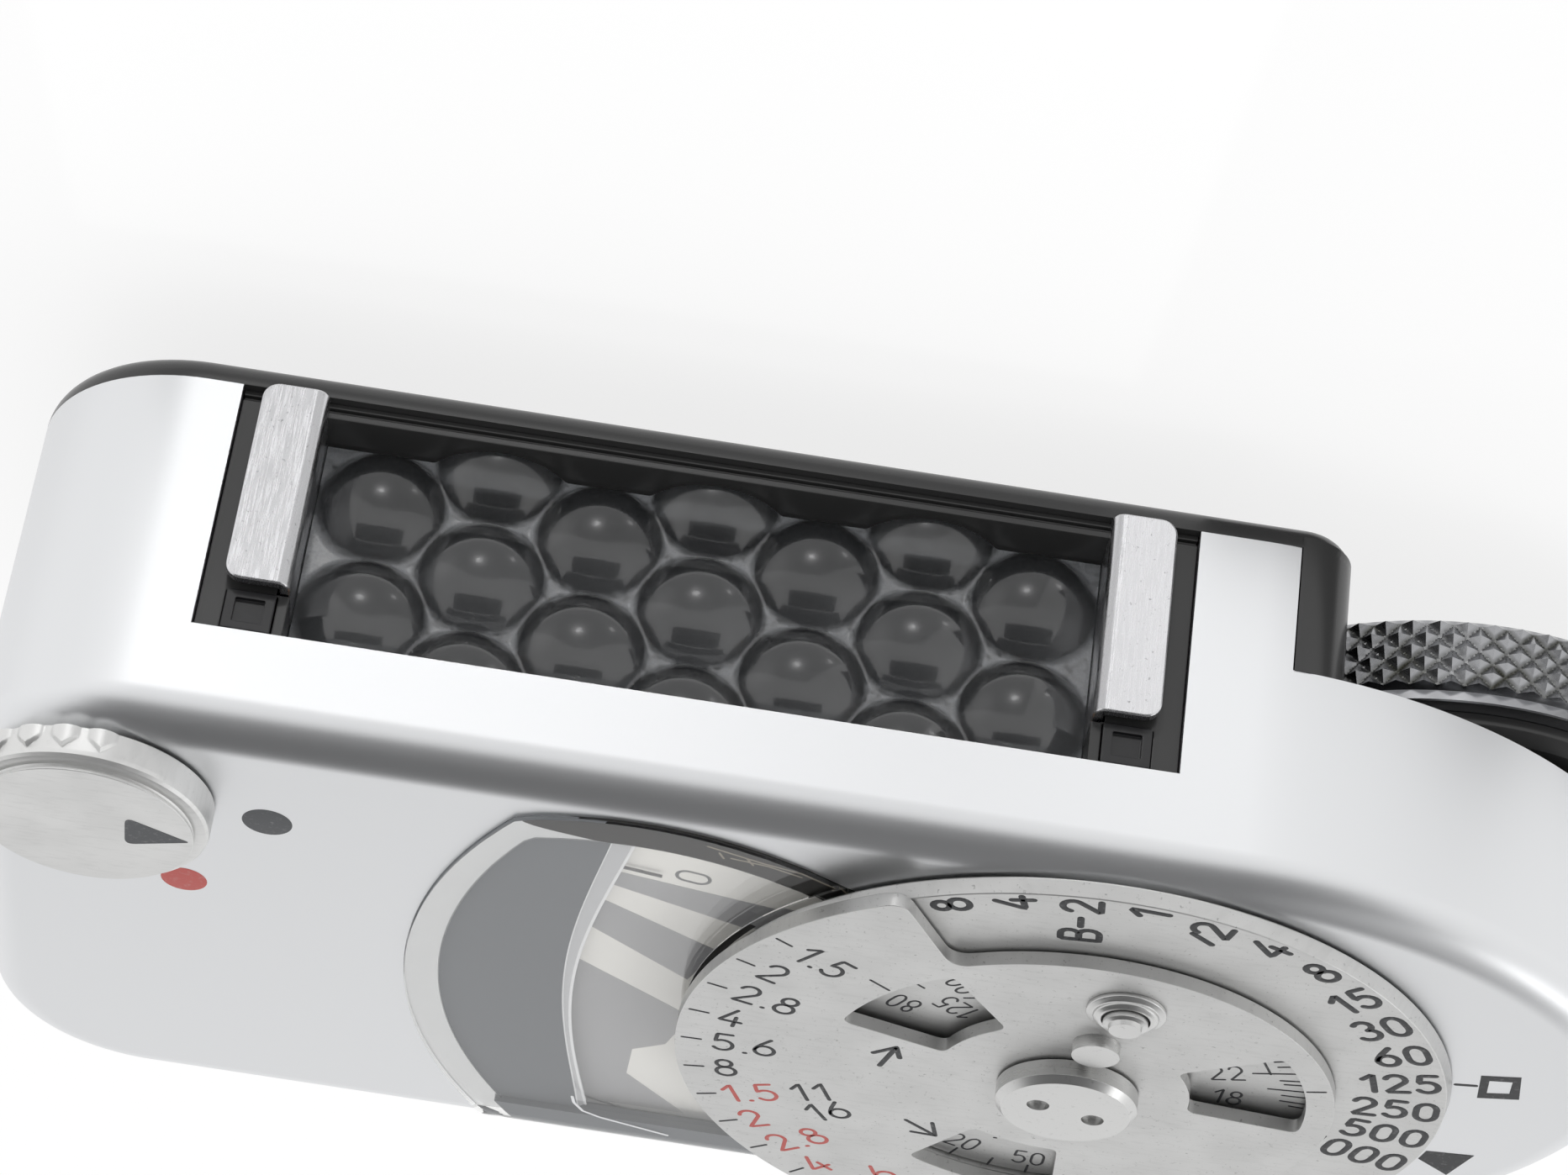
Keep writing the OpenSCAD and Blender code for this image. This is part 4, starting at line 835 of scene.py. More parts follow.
def cover_outline(body, inset):
    """Plan of the cover, moved in by inset: two left corners, a long front curve, the round nose and a rear curve."""
    nose, (nose_x, nose_y) = mm(body.nose), NOSE
    blend_y, tail_y = FRONT - FRONT_R, REAR + REAR_R
    # Two circles that touch inside lie the difference of their radii apart
    blend_x = nose_x - math.sqrt((FRONT_R - nose) ** 2 - (nose_y - blend_y) ** 2)
    tail_x = nose_x - math.sqrt((REAR_R - nose) ** 2 - (nose_y - tail_y) ** 2)
    blend_a = math.degrees(math.atan2(nose_y - blend_y, nose_x - blend_x))
    tail_a = math.degrees(math.atan2(nose_y - tail_y, nose_x - tail_x))
    return np.concatenate([
        *left_corners(body, inset),
        arc((blend_x, blend_y), FRONT_R - inset, 90, blend_a, 20),
        arc((nose_x, nose_y), nose - inset, blend_a - 2, tail_a + 2, 32),
        arc((tail_x, tail_y), REAR_R - inset, tail_a, -90, 32)])


class CoverBuild(bpy.types.Operator):
    """Satin chrome cover with its windows, overhang and rounded top edge"""

    bl_idname = "meter.build_cover"
    bl_label = "Cover"

    def execute(self, context):
        body, window = context.scene.meter_body, context.scene.meter_needle_window
        wall, edge = mm(body.wall), mm(body.edge)

        def bent(inset, count):
            """Rings over the rounded top edge, of radius edge - inset, from the wall to the top."""
            r = edge - inset
            return [at_level(cover_outline(body, edge - r * math.cos(a)), TOP - edge + r * math.sin(a))
                    for a in np.linspace(0, math.pi / 2, count)]

        inner = bent(wall, 6)
        rings = inner[::-1] + [at_level(cover_outline(body, wall), SEAM), at_level(cover_outline(body, 0), SEAM)]
        shell = form_object(lofted(rings + bent(0, 14)))
        step = mm(body.step)
        front_window = block((mm(body.window_left), FRONT - wall - 2, 0),
                             (mm(body.window_right), FRONT + 5, SEAM + mm(body.window_height)))
        carve(shell, [block((step, -60, 0), (80, 60, OVER)), front_window, needle_recess(window),
                      needle_opening(window)])
        chrome = shared("satin_chrome", satin_chrome, context.scene.meter_colours)
        piece("cover", shell, "housing", chrome, ["top_cover"], edge=0.12, angle=40)
        return {"FINISHED"}


def window_left_x(window, y, inset):
    """Left edge of the needle window at y, moved in by inset: a circle round the window's own centre."""
    radius = mm(window.radius) - inset
    return WINDOW_MIDDLE[0] - np.sqrt(np.maximum(radius ** 2 - (y - WINDOW_MIDDLE[1]) ** 2, 1.0))


def window_sides(window, y, side, ledge, right):
    """Left and right edge of the needle window at y: the circle on the left, the given edge on the right, and between
    them the bowed front edge, y = front - BOW * (x - BOW_X) squared."""
    half = np.sqrt(np.maximum(mm(window.front) - ledge - y, 0) / BOW)
    return np.maximum(window_left_x(window, y, side), BOW_X - half), np.minimum(right, BOW_X + half)


def skin_path(front, depth, low_z, count=14):
    """Points (y, z) of the cover's skin at a depth: from the front edge over the top and down the rear. They crowd at
    the front edge, where the window's outline turns fastest."""
    near = min(3.0, 0.4 * (front - REAR - EDGE_R))
    y = np.concatenate([front - np.geomspace(0.001, near, 16),
                        np.linspace(front - 1.1 * near, REAR + EDGE_R + 0.01, 34)])
    flat = np.column_stack([y, np.full(len(y), TOP - depth)])
    bend = arc((REAR + EDGE_R, TOP - EDGE_R), max(EDGE_R - depth, 0.1), 90, 180, count)
    return np.concatenate([flat, bend, [(REAR + depth, low_z)]])


def skin_solid(window, side, ledge, right, depth, lift, low_z):
    """A slab of the cover's skin inside the window's edges, from depth up to lift above it, bent over the rear edge."""
    front = mm(window.front) - ledge
    lower, upper = skin_path(front, depth, low_z), skin_path(front, -lift, low_z)
    rings = []
    for a, b in zip(lower, upper):
        (a_left, a_right), (b_left, b_right) = (window_sides(window, p[0], side, ledge, right) for p in (a, b))
        rings.append([(a_left, *a), (a_right, *a), (b_right, *b), (b_left, *b)])
    return lofted(rings)


def needle_recess(window):
    """What is cut from the cover for the flange of the clear insert."""
    return skin_solid(window, 0.0, 0.0, mm(window.right), mm(window.depth), 1.0, TOP - mm(window.wrap))


def needle_opening(window):
    """What is cut through the cover inside the ledge."""
    ledge = mm(window.ledge)
    front = mm(window.front) - ledge
    y = np.concatenate([front - np.geomspace(0.001, 3, 16), np.linspace(front - 3.4, REAR - 5, 50)])
    left, right = window_sides(window, y, mm(window.side_ledge), ledge, mm(window.right) - 0.3)
    outline = np.concatenate([np.column_stack([left, y]), np.column_stack([right, y])[::-1]])
    return prism(outline, TOP - mm(window.wrap) + ledge, TOP + 9)


def base_outline(body, inset):
    """Plan of the base: two left corners and, past the cover's step, an end wall with rounded corners."""
    end, end_corner = mm(body.step) + 2.4, 2.2
    r = max(end_corner - inset, 0.4)
    x, y0, y1 = end - inset - r, REAR + inset + r, FRONT - inset - r
    return np.concatenate([*left_corners(body, inset), arc((x, y1), r, 90, 0, 14), arc((x, y0), r, 0, -90, 14)])


class BaseBuild(bpy.types.Operator):
    """Black moulded base with its rounded lower edge, end wall and wheel bay"""

    bl_idname = "meter.build_base"
    bl_label = "Base"

    screws = ((-22.4, -11), (-22.4, 1), (23.6, 13.2), (23.6, -12.5))

    def execute(self, context):
        body = context.scene.meter_body
        floor_z, lip, bay, step = low("base_housing")[2], 1.3, 13.5, mm(body.step) + 0.05
        rings = [at_level(base_outline(body, lip - lip * math.cos(a)), floor_z + lip - lip * math.sin(a))
                 for a in np.linspace(math.pi / 2, 0, 10)]
        base = form_object(lofted(rings + [at_level(base_outline(body, 0), SEAM)]))
        outline = base_outline(body, 0)
        inside = outline[:, 0] > step
        end_wall = np.concatenate([[(step, FRONT)], outline[inside], [(step, REAR)]])
        bay_wall = carve(form_object(rod(WHEEL, bay + 0.9, SEAM - 1, OVER)), [block((0, -60, 0), (step + 1, 60, 60))],
                         "INTERSECT")
        carve(base, [prism(end_wall, SEAM - 0.5, OVER)], "UNION")
        carve(base, [bay_wall], "UNION")
        screws = [turned([(0, 0), (1.6, 0), (1.6, floor_z + 0.8), (0.9, floor_z + 0.8), (0.9, 9), (0, 9)], place,
                         48, closed=False) for place in self.screws]
        zero = rod(middle("zero_screw")[:2], 1.35, 0, 9, 48)
        carve(base, [rod(WHEEL, bay, 0, 40), zero] + screws)
        plastic = shared("black_plastic", black_plastic, context.scene.meter_colours)
        piece("base", base, "housing", plastic, ["base_housing"], edge=0.15, angle=40)
        return {"FINISHED"}


class FrontWindowBuild(bpy.types.Operator):
    """Honeycomb lens, its frame, the two rails and the selenium cell"""

    bl_idname = "meter.build_front_window"
    bl_label = "Front window"

    def execute(self, context):
        body, colours = context.scene.meter_body, context.scene.meter_colours
        plastic = shared("black_plastic", black_plastic, colours)
        kept("window_frame", plastic, 0.08)
        kept("booster_contacts", dull_stuff("contact_block", linear("1A1A1C"), 0.3, 0.4), 0.05)
        kept("selenium_cell", selenium_coat(colours))
        self.lens(body, colours)
        nickel = bright_nickel(colours)
        for side in ("left", "right"):
            self.rail(body, side, nickel)
        return {"FINISHED"}

    def lens(self, body, colours):
        """Plate with hexagonal domes. The height is the smooth maximum, log(sum(exp(sharp h))) / sharp, of the flat
        plate, h = 0, and of a sphere on the middle of each hexagon, h = rise - R + sqrt(R * R - distance squared)."""
        (x0, y0, z0), (x1, _, z1) = low("honeycomb_lens"), high("honeycomb_lens")
        side, radius, plate, rise, sharp = mm(body.hexagon), mm(body.dome), 1.4, 1.5, 14.0
        middle_x, middle_z = (x0 + x1) / 2 + 0.05, SEAM + 6.1
        x, z = np.meshgrid(np.linspace(x0, x1, 360), np.linspace(z0, z1, 120))
        total = np.ones_like(x)
        for i in range(-3, 4):
            for j in range(-1, 2):
                cx = middle_x + 1.5 * side * i
                cz = middle_z + (j + 0.5 * (i % 2)) * side * math.sqrt(3)
                reach = np.maximum(radius ** 2 - (x - cx) ** 2 - (z - cz) ** 2, 0)
                total += np.exp(sharp * (rise - radius + np.sqrt(reach)))
        height = np.log(total) / sharp
        front = np.stack([x, y0 + plate + height, z], -1)
        rim = np.pad(front, ((1, 1), (1, 1), (0, 0)), mode="edge")
        # The back is cemented to the cell, so no light is thrown back between them
        rim[[0, -1], :, 1] = rim[:, [0, -1], 1] = high("selenium_cell")[1] - 0.03
        rows, columns = rim.shape[:2]
        index = np.arange(rows * columns).reshape(rows, columns)
        back = np.concatenate([index[0], index[1:, -1], index[-1, -2::-1], index[-2:0:-1, 0]]).tolist()
        form = (rim.reshape(-1, 3), grid_faces(rows, columns, wrap_columns=False) + [back])

        def groove(place):
            """How deep a point lies between the domes: 1 on the flat of the plate and 0 from 0.5 above it."""
            return np.clip(1 - (place[:, 1] - y0 - plate) / 0.5, 0, 1)

        lens = piece("lens", form, "housing", dusty_lens(colours), ["honeycomb_lens"], angle=60,
                     attribute=("groove", groove))
        lens.visible_shadow = lens.visible_diffuse = False

    def rail(self, body, side, nickel):
        """L-shaped section with a round outer bend, drawn up along Z: (x, y) of the sheet's two faces. The free corners
        of its flange are rounded."""
        node = "rail_" + side
        (x0, y0, z0), (x1, y1, z1) = low(node), high(node)
        sheet, r, corner = mm(body.rail_sheet), 0.6, 0.7
        sign = 1 if side == "left" else -1
        outer, free = (x1, x0) if side == "left" else (x0, x1)
        bend, inner = ([(outer - sign * (r - x), y1 - r + y) for x, y in curve]
                       for curve in (arc((0, 0), r, 0, 90, 12), arc((0, 0), r - sheet, 90, 0, 8)))
        points = [(outer, y0), *bend, (free, y1), (free, y1 - sheet), *inner, (outer - sign * sheet, y0)]
        rail = form_object(prism(points, z0, z1))
        cutters = []
        for z, way in ((z0, 1), (z1, -1)):
            round_off = [(free - sign, z - way), (free + sign * corner, z - way), (free + sign * corner, z)]
            round_off += [(free + sign * corner * (1 - math.sin(a)), z + way * corner * (1 - math.cos(a)))
                          for a in np.linspace(0, math.pi / 2, 8)]
            round_off.append((free - sign, z + way * corner))
            cutters.append(lofted([[(x, y, z) for x, z in round_off] for y in (y0 - 1, y1 + 1)]))
        carve(rail, cutters)
        piece("rail_" + side + "_folded", rail, "housing", nickel, [node], edge=0.08)


class NeedleWindowBuild(bpy.types.Operator):
    """Clear insert with its moulded step, grey mask, striped scale and needle"""

    bl_idname = "meter.build_needle_window"
    bl_label = "Needle window"

    # Points (x, y) in millimetres: the two edges run from the front to the rear, and a stripe goes round its corners
    mask_edge = ((-0.35, 13.0), (-0.45, 12.19), (-1.28, 6.76), (-1.70, 1.47), (-1.66, -2.81), (-1.07, -8.20),
                 (-0.45, -12.80))
    step_edge = ((0.60, 13.0), (0.46, 12.24), (-0.31, 8.08), (-0.91, 4.34), (-1.26, 1.09), (-1.30, -2.68),
                 (-0.95, -7.02), (-0.10, -12.40))
    # Path of a painted highlight round the insert's rear corner
    rear_corner_highlight = ((-0.71, -10.9), (-0.6, -11.5), (-0.17, -12.22), (0.62, -12.62), (3.72, -13.45))
    cracks = (((3.4, 13.6), (5.6, 12.9), (7.3, 12.5), (8.9, 11.6)), ((4.4, 12.9), (5.9, 12.7), (7.3, 12.2)),
              ((3.9, 13.2), (4.1, 12.8)), ((5.0, 13.1), (5.3, 12.6)), ((8.9, 11.6), (9.3, 11.1)))
    stripes = (((-1.09, 8.90), (7.63, 7.33), (5.98, 5.25), (-1.35, 7.95)),
               ((-1.50, 6.73), (4.58, 2.99), (3.47, -0.02), (-1.83, 4.35)),
               ((-2.24, 1.20), (3.9, -3.47), (3.0, -6.5), (1.6, -7.5), (1.5, -10.0), (4.3, -13.2), (-1.2, -13.2)))

    def execute(self, context):
        window, colours = context.scene.meter_needle_window, context.scene.meter_colours
        self.insert(window, colours)
        self.mask(window, colours)
        self.skirt(window, colours)
        self.seat(window)
        self.scale(colours)
        self.needle()
        return {"FINISHED"}

    def insert(self, window, colours):
        """Flange on the ledge and plug in the opening, bent over the rear edge, with room for the dial. A dark band in
        the gap beside the dial is painted shade, and pale lines along its moulded step and its rear corner are painted
        highlights."""
        ledge, side, depth = mm(window.ledge) + 0.05, mm(window.side_ledge) + 0.05, mm(window.depth) - 0.03
        flange = skin_solid(window, 0.05, 0.05, mm(window.right) - 0.05, depth, 0.2, TOP - mm(window.wrap) + 0.05)
        plug = skin_solid(window, side, ledge, mm(window.right) - 0.35, 0.98, -0.4, TOP - mm(window.wrap) + ledge)
        insert = carve(form_object(flange), [plug], "UNION")
        clear = RING_R + 0.5
        carve(insert, [rod(DIAL, clear, TOP, TOP + 5, 240)])
        # Painted shade: a dark band on the left of the ring, where the gap round the dial lies in shadow
        gap = np.concatenate([arc(DIAL, clear - 0.02, 152, 246, 60), arc(DIAL, RING_R + 0.02, 246, 152, 60)])
        piece("dial_gap_shade", prism(gap, TOP - 0.01, TOP + 0.02), "housing",
              dull_stuff("painted_gap_shade", linear("1B1917"), 0.5, 0.4))
        insert = piece("insert", insert, "housing", clear_plastic("clear_insert"),
                       ["needle_window"], edge=0.05)
        insert.visible_shadow = insert.visible_diffuse = False
        z = TOP - 1.03
        left, right = smooth_line(self.mask_edge), smooth_line(self.step_edge)
        step = prism(np.concatenate([left + (0.01, 0), right[::-1]]), z - 0.27, z)
        piece("insert_step", step, "housing", printed_card("moulded_step", colours.clear_edge))
        # Painted highlights: pale beads along the two edges of the moulded step and round the rear corner
        lines = [bead(left, 0.13, z, 0.02), bead(right, 0.13, z, 0.02),
                 bead(self.rear_corner_highlight, 0.14, TOP + 0.2, 0.015)]
        piece("insert_step_highlights", joined(lines), "housing",
              printed_card("step_glint", linear("E4E5E7")), angle=80)

    def mask(self, window, colours):
        """Grey card under the left half of the window."""
        edge = smooth_line(self.mask_edge)
        y = np.linspace(edge[-1, 1], edge[0, 1], 40)
        left = np.column_stack([window_left_x(window, y, mm(window.side_ledge) - 0.25), y])
        piece("mask", prism(np.concatenate([edge, left]), MASK_Z - 0.25, MASK_Z), "housing",
              printed_card("mask_card", colours.mask), ["mask_plate"])

    def skirt(self, window, colours):
        """Grey card from the rear end of the mask over the rear edge. Its left side follows the window, its right side
        is straight, and its front is square, without the window's bow."""
        start, side, right = -12.7, mm(window.side_ledge) - 0.2, mm(window.right) - 0.4
        points, faces = skin_solid(window, side, mm(window.front) - start, right, 1.25, 0.0,
                                   TOP - mm(window.wrap) + 0.3)
        on_left = np.isin(np.arange(len(points)) % 4, (0, 3))
        points = np.column_stack([np.where(on_left, window_left_x(window, points[:, 1], side), right), points[:, 1:]])
        # Painted shade: the skirt's grey is a little darker than the mask's, for the rear bend
        piece("window_skirt", (points, faces), "housing",
              printed_card("skirt_card_shaded", darker(colours.mask, 0.95)))

    def seat(self, window):
        """Dark cement on the ledge under the front edge, which tapers to the left, and the cracks in it. Its dark is
        partly painted shade, for the dark inside that shows through the insert's front edge.
        """
        z, x = TOP - mm(window.depth), np.linspace(-4.3, 9.2, 40)
        upper = mm(window.front) - 0.08 - BOW * (x - BOW_X) ** 2
        wide = (mm(window.ledge) - 0.1) * np.sqrt(np.clip((x + 4.35) / 3.4, 0, 1))
        upper, lower = np.column_stack([x, upper]), np.column_stack([x, upper - wide])[::-1]
        # Partly painted shade: the dark strip also stands for the dark seen through the clear front edge
        piece("window_seat", prism(np.concatenate([upper, lower]), z - 0.02, z + 0.06), "housing",
              dull_stuff("seat_cement_and_shade", linear("1B1917"), 0.5, 0.4))
        piece("seat_cracks", joined([bead(line, 0.1, z + 0.06, 0.01) for line in self.cracks]), "housing",
              dull_stuff("old_cement", linear("857E71"), 0.6, 0.2), angle=80)

    def scale(self, colours):
        """White plate with slanted grey stripes and a flat nought, drawn as two half circles joined by lines."""
        kept("scale_plate", printed_card("scale_card", colours.white))
        z = high("scale_plate")[2]
        stripes = joined([prism(stripe, z - 0.03, z + PRINT) for stripe in self.stripes])
        piece("scale_stripes", stripes, "housing", printed_card("stripe_print", colours.stripe))
        ends = [arc((side * 0.28, 0), 0.41, start, start + 180, 12) for side, start in ((1, -90), (-1, 90))]
        nought = np.concatenate([*ends, ends[0][:1]])
        piece("scale_nought", bead(nought @ spin(-10.8) + (3.04, 9.15), 0.16, z, PRINT), "housing",
              paint(colours, "grey_fill"), angle=80)

    def needle(self):
        """Thin cranked needle: out from the coil, up, out again, up past the scale's edge and back over the scale. Its
        crank is given by (distance from the pivot, height), and its tip by (x, y)."""
        lacquer = dull_stuff("needle_lacquer", linear("2A2A2C"), 0.4, 0.3)
        a = math.radians(147.5)
        lower, upper, under = low("needle")[2] + 0.15, high("needle")[2] - 0.1, 18.5
        crank = [(0.55, lower), (6, lower), (12.7, lower), (12.72, lower + 0.05), (12.72, under - 0.1), (12.8, under),
                 (17, under), (21.5, under), (21.62, under + 0.1), (21.62, upper)]
        path = [(PIVOT[0] + r * math.cos(a), PIVOT[1] + r * math.sin(a), z) for r, z in crank]
        tip = [path[-1], (-0.75, 9.66, upper), (0.5, 9.44, upper), (1.77, 9.22, upper)]
        form = joined([wire(path, 0.16, (-math.sin(a), math.cos(a), 0)), wire(tip, 0.14, (0, 0, 1))])
        piece("needle_wire", form, "moving_coil", lacquer, ["needle"])


class DialBuild(bpy.types.Operator):
    """Speed ring, film speed disc, aperture plate, nut, rivet and setting button"""

    bl_idname = "meter.build_dial"
    bl_label = "Dial"

    # Windows: inner and outer radius, first and last angle. Notch: its two corners. Marks are from the dial's middle.
    windows = ((5.7, 10.45, 124.5, 162.5), (6.1, 10.6, -123, -86), (5.13, 10.0, -5, 35))
    notch = ((-8.65, 14.29), (-6.09, 9.45))
    arrows = (((-7.96, -0.45), (-7.46, 1.48), (-8.35, 0.66), (-7.22, 0.54), 0.25),
              ((-6.27, -5.37), (-4.85, -6.49), (-5.91, -6.44), (-5.13, -5.28), 0.2))
    # Angles in degrees: that of the eighth speed and of the first aperture, and their pitches
    speed_angle, speed_pitch = 46.0, -10.07
    stop_angle, stop_pitch = 144.0, 9.5
    film_ticks = ((24.1, 8.9), (21.0, 8.95), (17.1, 7.8), (13.0, 8.9), (10.8, 9.07), (7.4, 8.38), (4.2, 9.0),
                  (0.8, 9.0), (-1.5, 9.45))

    def execute(self, context):
        dial, colours = context.scene.meter_dial, context.scene.meter_colours
        plate = silvered_plate(colours.silver)
        silver = shared("turned_silver", turned_silver, colours)
        ink, red = paint(colours, "black_fill"), paint(colours, "red_fill")
        self.ring(dial, plate)
        kept("film_speed_disc", plate, 0.05)
        self.plate(dial, plate)
        self.nut(silver)
        kept("stop_rivet", silver, 0.12)
        kept("button_collar", silver, 0.05)
        kept("setting_button", silver, 0.05)
        self.speeds(dial, ink)
        self.stops(dial, ink, red)
        self.film(dial, ink)
        return {"FINISHED"}

    def ring(self, dial, plate):
        """Turned ring with a slightly conical rim and a sunk middle."""
        (z0, z1), bore, inner = (low("speed_ring")[2], high("speed_ring")[2]), 2.0, mm(dial.step) - 0.4
        sunk = low("film_speed_disc")[2]
        profile = [(bore, z0), (RING_R - 0.05, z0), (RING_R, z0 + 0.05), (RING_R - 0.2, z1), (inner, z1),
                   (inner, sunk), (bore, sunk)]
        piece("ring", turned(profile, DIAL, 240), "dial", plate, ["speed_ring"], edge=0.05,
              angle=20)

    def plate(self, dial, plate):
        """Plate whose rim steps in where the speeds show, cut by three windows with rounded corners."""
        sector, step = mm(dial.sector), mm(dial.step)
        z0, z1 = low("aperture_plate")[2], PLATE_TOP
        outer, inner = (np.array(corner) + DIAL for corner in self.notch)
        rim = arc(DIAL, sector, 270, 124.5, 120)
        back = arc(DIAL, step, 117.3, -90, 160)
        outline = np.concatenate([rim, fillet(rim[-1], outer, inner, 0.95)[1:],
                                  fillet(outer, inner, back[0], 0.95)[:-1], back])
        body = form_object(prism(outline, z0, z1))
        cutters = [prism(slot_outline(DIAL, *window, 0.45), z0 - 1, z1 + 1) for window in self.windows]
        cutters.append(rod(DIAL, 2.05, 0, 40, 64))
        carve(body, cutters)
        piece("aperture_dial", body, "aperture_dial", plate, ["aperture_plate"], edge=0.12)

    def nut(self, silver):
        """Round nut with a chamfer and two spanner holes."""
        z0, z1 = low("centre_nut")[2], high("centre_nut")[2]
        body = form_object(turned([(0, z0 + 0.7), (1.5, z0 + 0.7), (1.5, z0), (3.0, z0), (3.0, z1 - 0.3), (2.72, z1),
                                   (0, z1)], DIAL, 96, closed=False))
        holes = [rod(around(DIAL, 1.25, angle), 0.48, z1 - 0.28, z1 + 1, 32) for angle in (-15.5, 164.5)]
        carve(body, holes)
        piece("nut", body, "dial", silver, ["centre_nut"], edge=0.05)

    def inscription(self, name, paths, stroke, z, body, fill):
        """Engraved strokes filled with paint, as one piece."""
        piece(name, joined([bead(p, stroke, z, 0.02) for p in paths]), body, fill, angle=80)

    def speeds(self, dial, ink):
        """Shutter speeds read outwards along the radius. B and a dash share the place of the third."""
        z, height = high("speed_ring")[2], mm(dial.speed_height)
        labels = ("8", "4", "2", "1", "/2", "4", "8", "15", "30", "60", "125", "250", "500", "1000")
        paths = []
        for i, text in enumerate(labels):
            angle = self.speed_angle + self.speed_pitch * (i - 7)
            paths += written(text, around(DIAL, 15.5, angle), angle, height, 1.0)
        angle = self.speed_angle - self.speed_pitch * 5
        paths += written("-", around(DIAL, 14.0, angle), angle, height, 1.0)
        paths += written("B", around(DIAL, 13.1, angle), angle, height, 1.0)
        self.inscription("speed_figures", paths, mm(dial.speed_stroke), z, "dial", ink)

    def stops(self, dial, ink, red):
        """Apertures with a tick each: they read inwards along the radius, the second range in red. Two arrows and two
        index ticks stand beside the windows."""
        height, z = mm(dial.stop_height), PLATE_TOP

        def row(figures, radius, first):
            """Figures at following ticks, from the first given tick on."""
            paths = []
            for k, text in enumerate(figures, first):
                angle = self.stop_angle + self.stop_pitch * k
                paths += written(text, around(DIAL, radius, angle), angle - 180, height)
            return paths

        black = row(("1.5", "2", "2.8", "4", "5.6", "8"), 15.1, 0) + row(("11", "16"), 12.2, 6)
        painted = row(("1.5", "2", "2.8", "4", "5.6"), 15.3, 6)
        ticks = [tick(16.4, 15.6, self.stop_angle + self.stop_pitch * k) for k in range(11)]
        ticks += [tick(10.65, 11.7, 141.7), tick(10.15, 10.9, 18.0)]
        self.inscription("aperture_ticks", ticks, 0.13, z, "aperture_dial", ink)
        self.inscription("aperture_figures", black, mm(dial.stop_stroke), z, "aperture_dial", ink)
        self.inscription("aperture_figures_red", painted, mm(dial.stop_stroke), z, "aperture_dial", red)
        for name, (tail, tip, left, right, stroke) in zip(("arrow_upper", "arrow_lower"), self.arrows):
            lines = [np.array([tail, tip]) + DIAL, np.array([left, tip, right]) + DIAL]
            self.inscription(name, lines, stroke, z, "aperture_dial", ink)

    def film(self, dial, ink):
        """Film speeds and fine ticks on the disc under the windows: text, radius and angle of its middle, direction,
        height and width."""
        height, z = mm(dial.film_height), high("film_speed_disc")[2]
        figures = (("80", 8.45, 153, 153, height, 0.7), ("125", 6.75, 142, 142, height, 0.7),
                   ("400", 7.87, 130.2, 130.2, height, 0.7), ("22", 6.65, 17, 17, 1.25, 0.8),
                   ("18", 6.8, -2.2, -2.2, 1.25, 0.8), ("20", 9.25, -112, -22, height, 0.8),
                   ("50", 9.25, -93, 0, height, 0.8))
        paths = []
        for text, radius, angle, turn, tall, narrow in figures:
            paths += written(text, around(DIAL, radius, angle), turn, tall, 0.5, narrow)
        paths += [tick(10.0, inner, angle) for angle, inner in self.film_ticks]
        paths += [tick(10.0, 10.7, angle) for angle in (-111.3, -101.5, -92.3)]
        paths += [tick(8.8, 9.26, 141.3), np.array([(7.58, 3.75), (8.17, 2.45)]) + DIAL,
                  np.array([(-2.2, -7.7), (-2.12, -7.7)]) + DIAL]
        self.inscription("film_figures", paths, mm(dial.film_stroke), z, "dial", ink)


class KnobBuild(bpy.types.Operator):
    """Range knob with its grip ribs and arrow"""

    bl_idname = "meter.build_knob"
    bl_label = "Range knob"

    arrow = ((1.72, 1.2), (1.65, -1.08), (4.3, -0.13))

    def execute(self, context):
        wheel, colours = context.scene.meter_wheel, context.scene.meter_colours
        self.knob(wheel, silvered_plate(linear("DEDEDD"), "knob_silver", 0.15))
        z = high("range_knob")[2]
        back, front, tip = (np.array(corner) + KNOB for corner in self.arrow)
        outline = np.concatenate([fillet(tip, back, front, 0.5), fillet(back, front, tip, 0.5),
                                  fillet(front, tip, back, 0.15)])
        piece("knob_arrow", prism(outline, z - 0.03, z + 0.01), "knob", paint(colours, "grey_fill"))
        return {"FINISHED"}

    def knob(self, wheel, silver):
        """Skirt, round shoulder, groove and flat top turned about the knob's axis. On the skirt the radius grows by
        rise times cosine to the power 0.7 over each rib, below a line that falls to both sides of the rib. In degrees,
        the ribs stand a pitch apart, each reaches wide to both sides, and their two groups lie about the grip angle."""
        z0, z1, steps = low("range_knob")[2], high("range_knob")[2], 720
        grip, pitch, wide, rise = 116, 17.0, 6.6, 0.2
        skirt = [(5.02, z) for z in np.linspace(z0 + 0.06, z1 - 0.62, 24)]
        profile = np.array([(0, z0), (4.96, z0), *skirt, (4.99, z1 - 0.46), (4.88, z1 - 0.34), (4.7, z1 - 0.28),
                            (4.42, z1 - 0.28), (4.36, z1 - 0.2), (4.45, z1 - 0.12), (4.45, z1 - 0.02),
                            (4.43, z1 - 0.001), (0, z1 - 0.001)])
        points, faces = turned(profile, KNOB, steps, closed=False)
        points = points.reshape(len(profile), steps, 3)
        angle = np.linspace(0, 360, steps, endpoint=False)[None, :]
        away = (angle - grip + 90) % 180 - 90
        near = away - pitch * np.clip(np.round(away / pitch), -(wheel.ribs // 2), wheel.ribs // 2)
        lobe = np.where(np.abs(near) < wide, np.cos(np.radians(np.clip(near / wide, -1, 1) * 90)), 0) ** 0.7
        top = z0 + 1.02 - 0.5 * np.abs(near) / wide
        height = points[..., 2]
        swell = rise * lobe * np.clip((top - height) / 0.12, 0, 1) * np.clip((height - z0) / 0.06, 0, 1)
        out = points[..., :2] - KNOB
        reach = np.linalg.norm(out, axis=-1, keepdims=True) + 1e-9
        points[..., :2] += out / reach * swell[..., None]
        piece("knob", (points.reshape(-1, 3), faces), "knob", silver, ["range_knob"], angle=25)


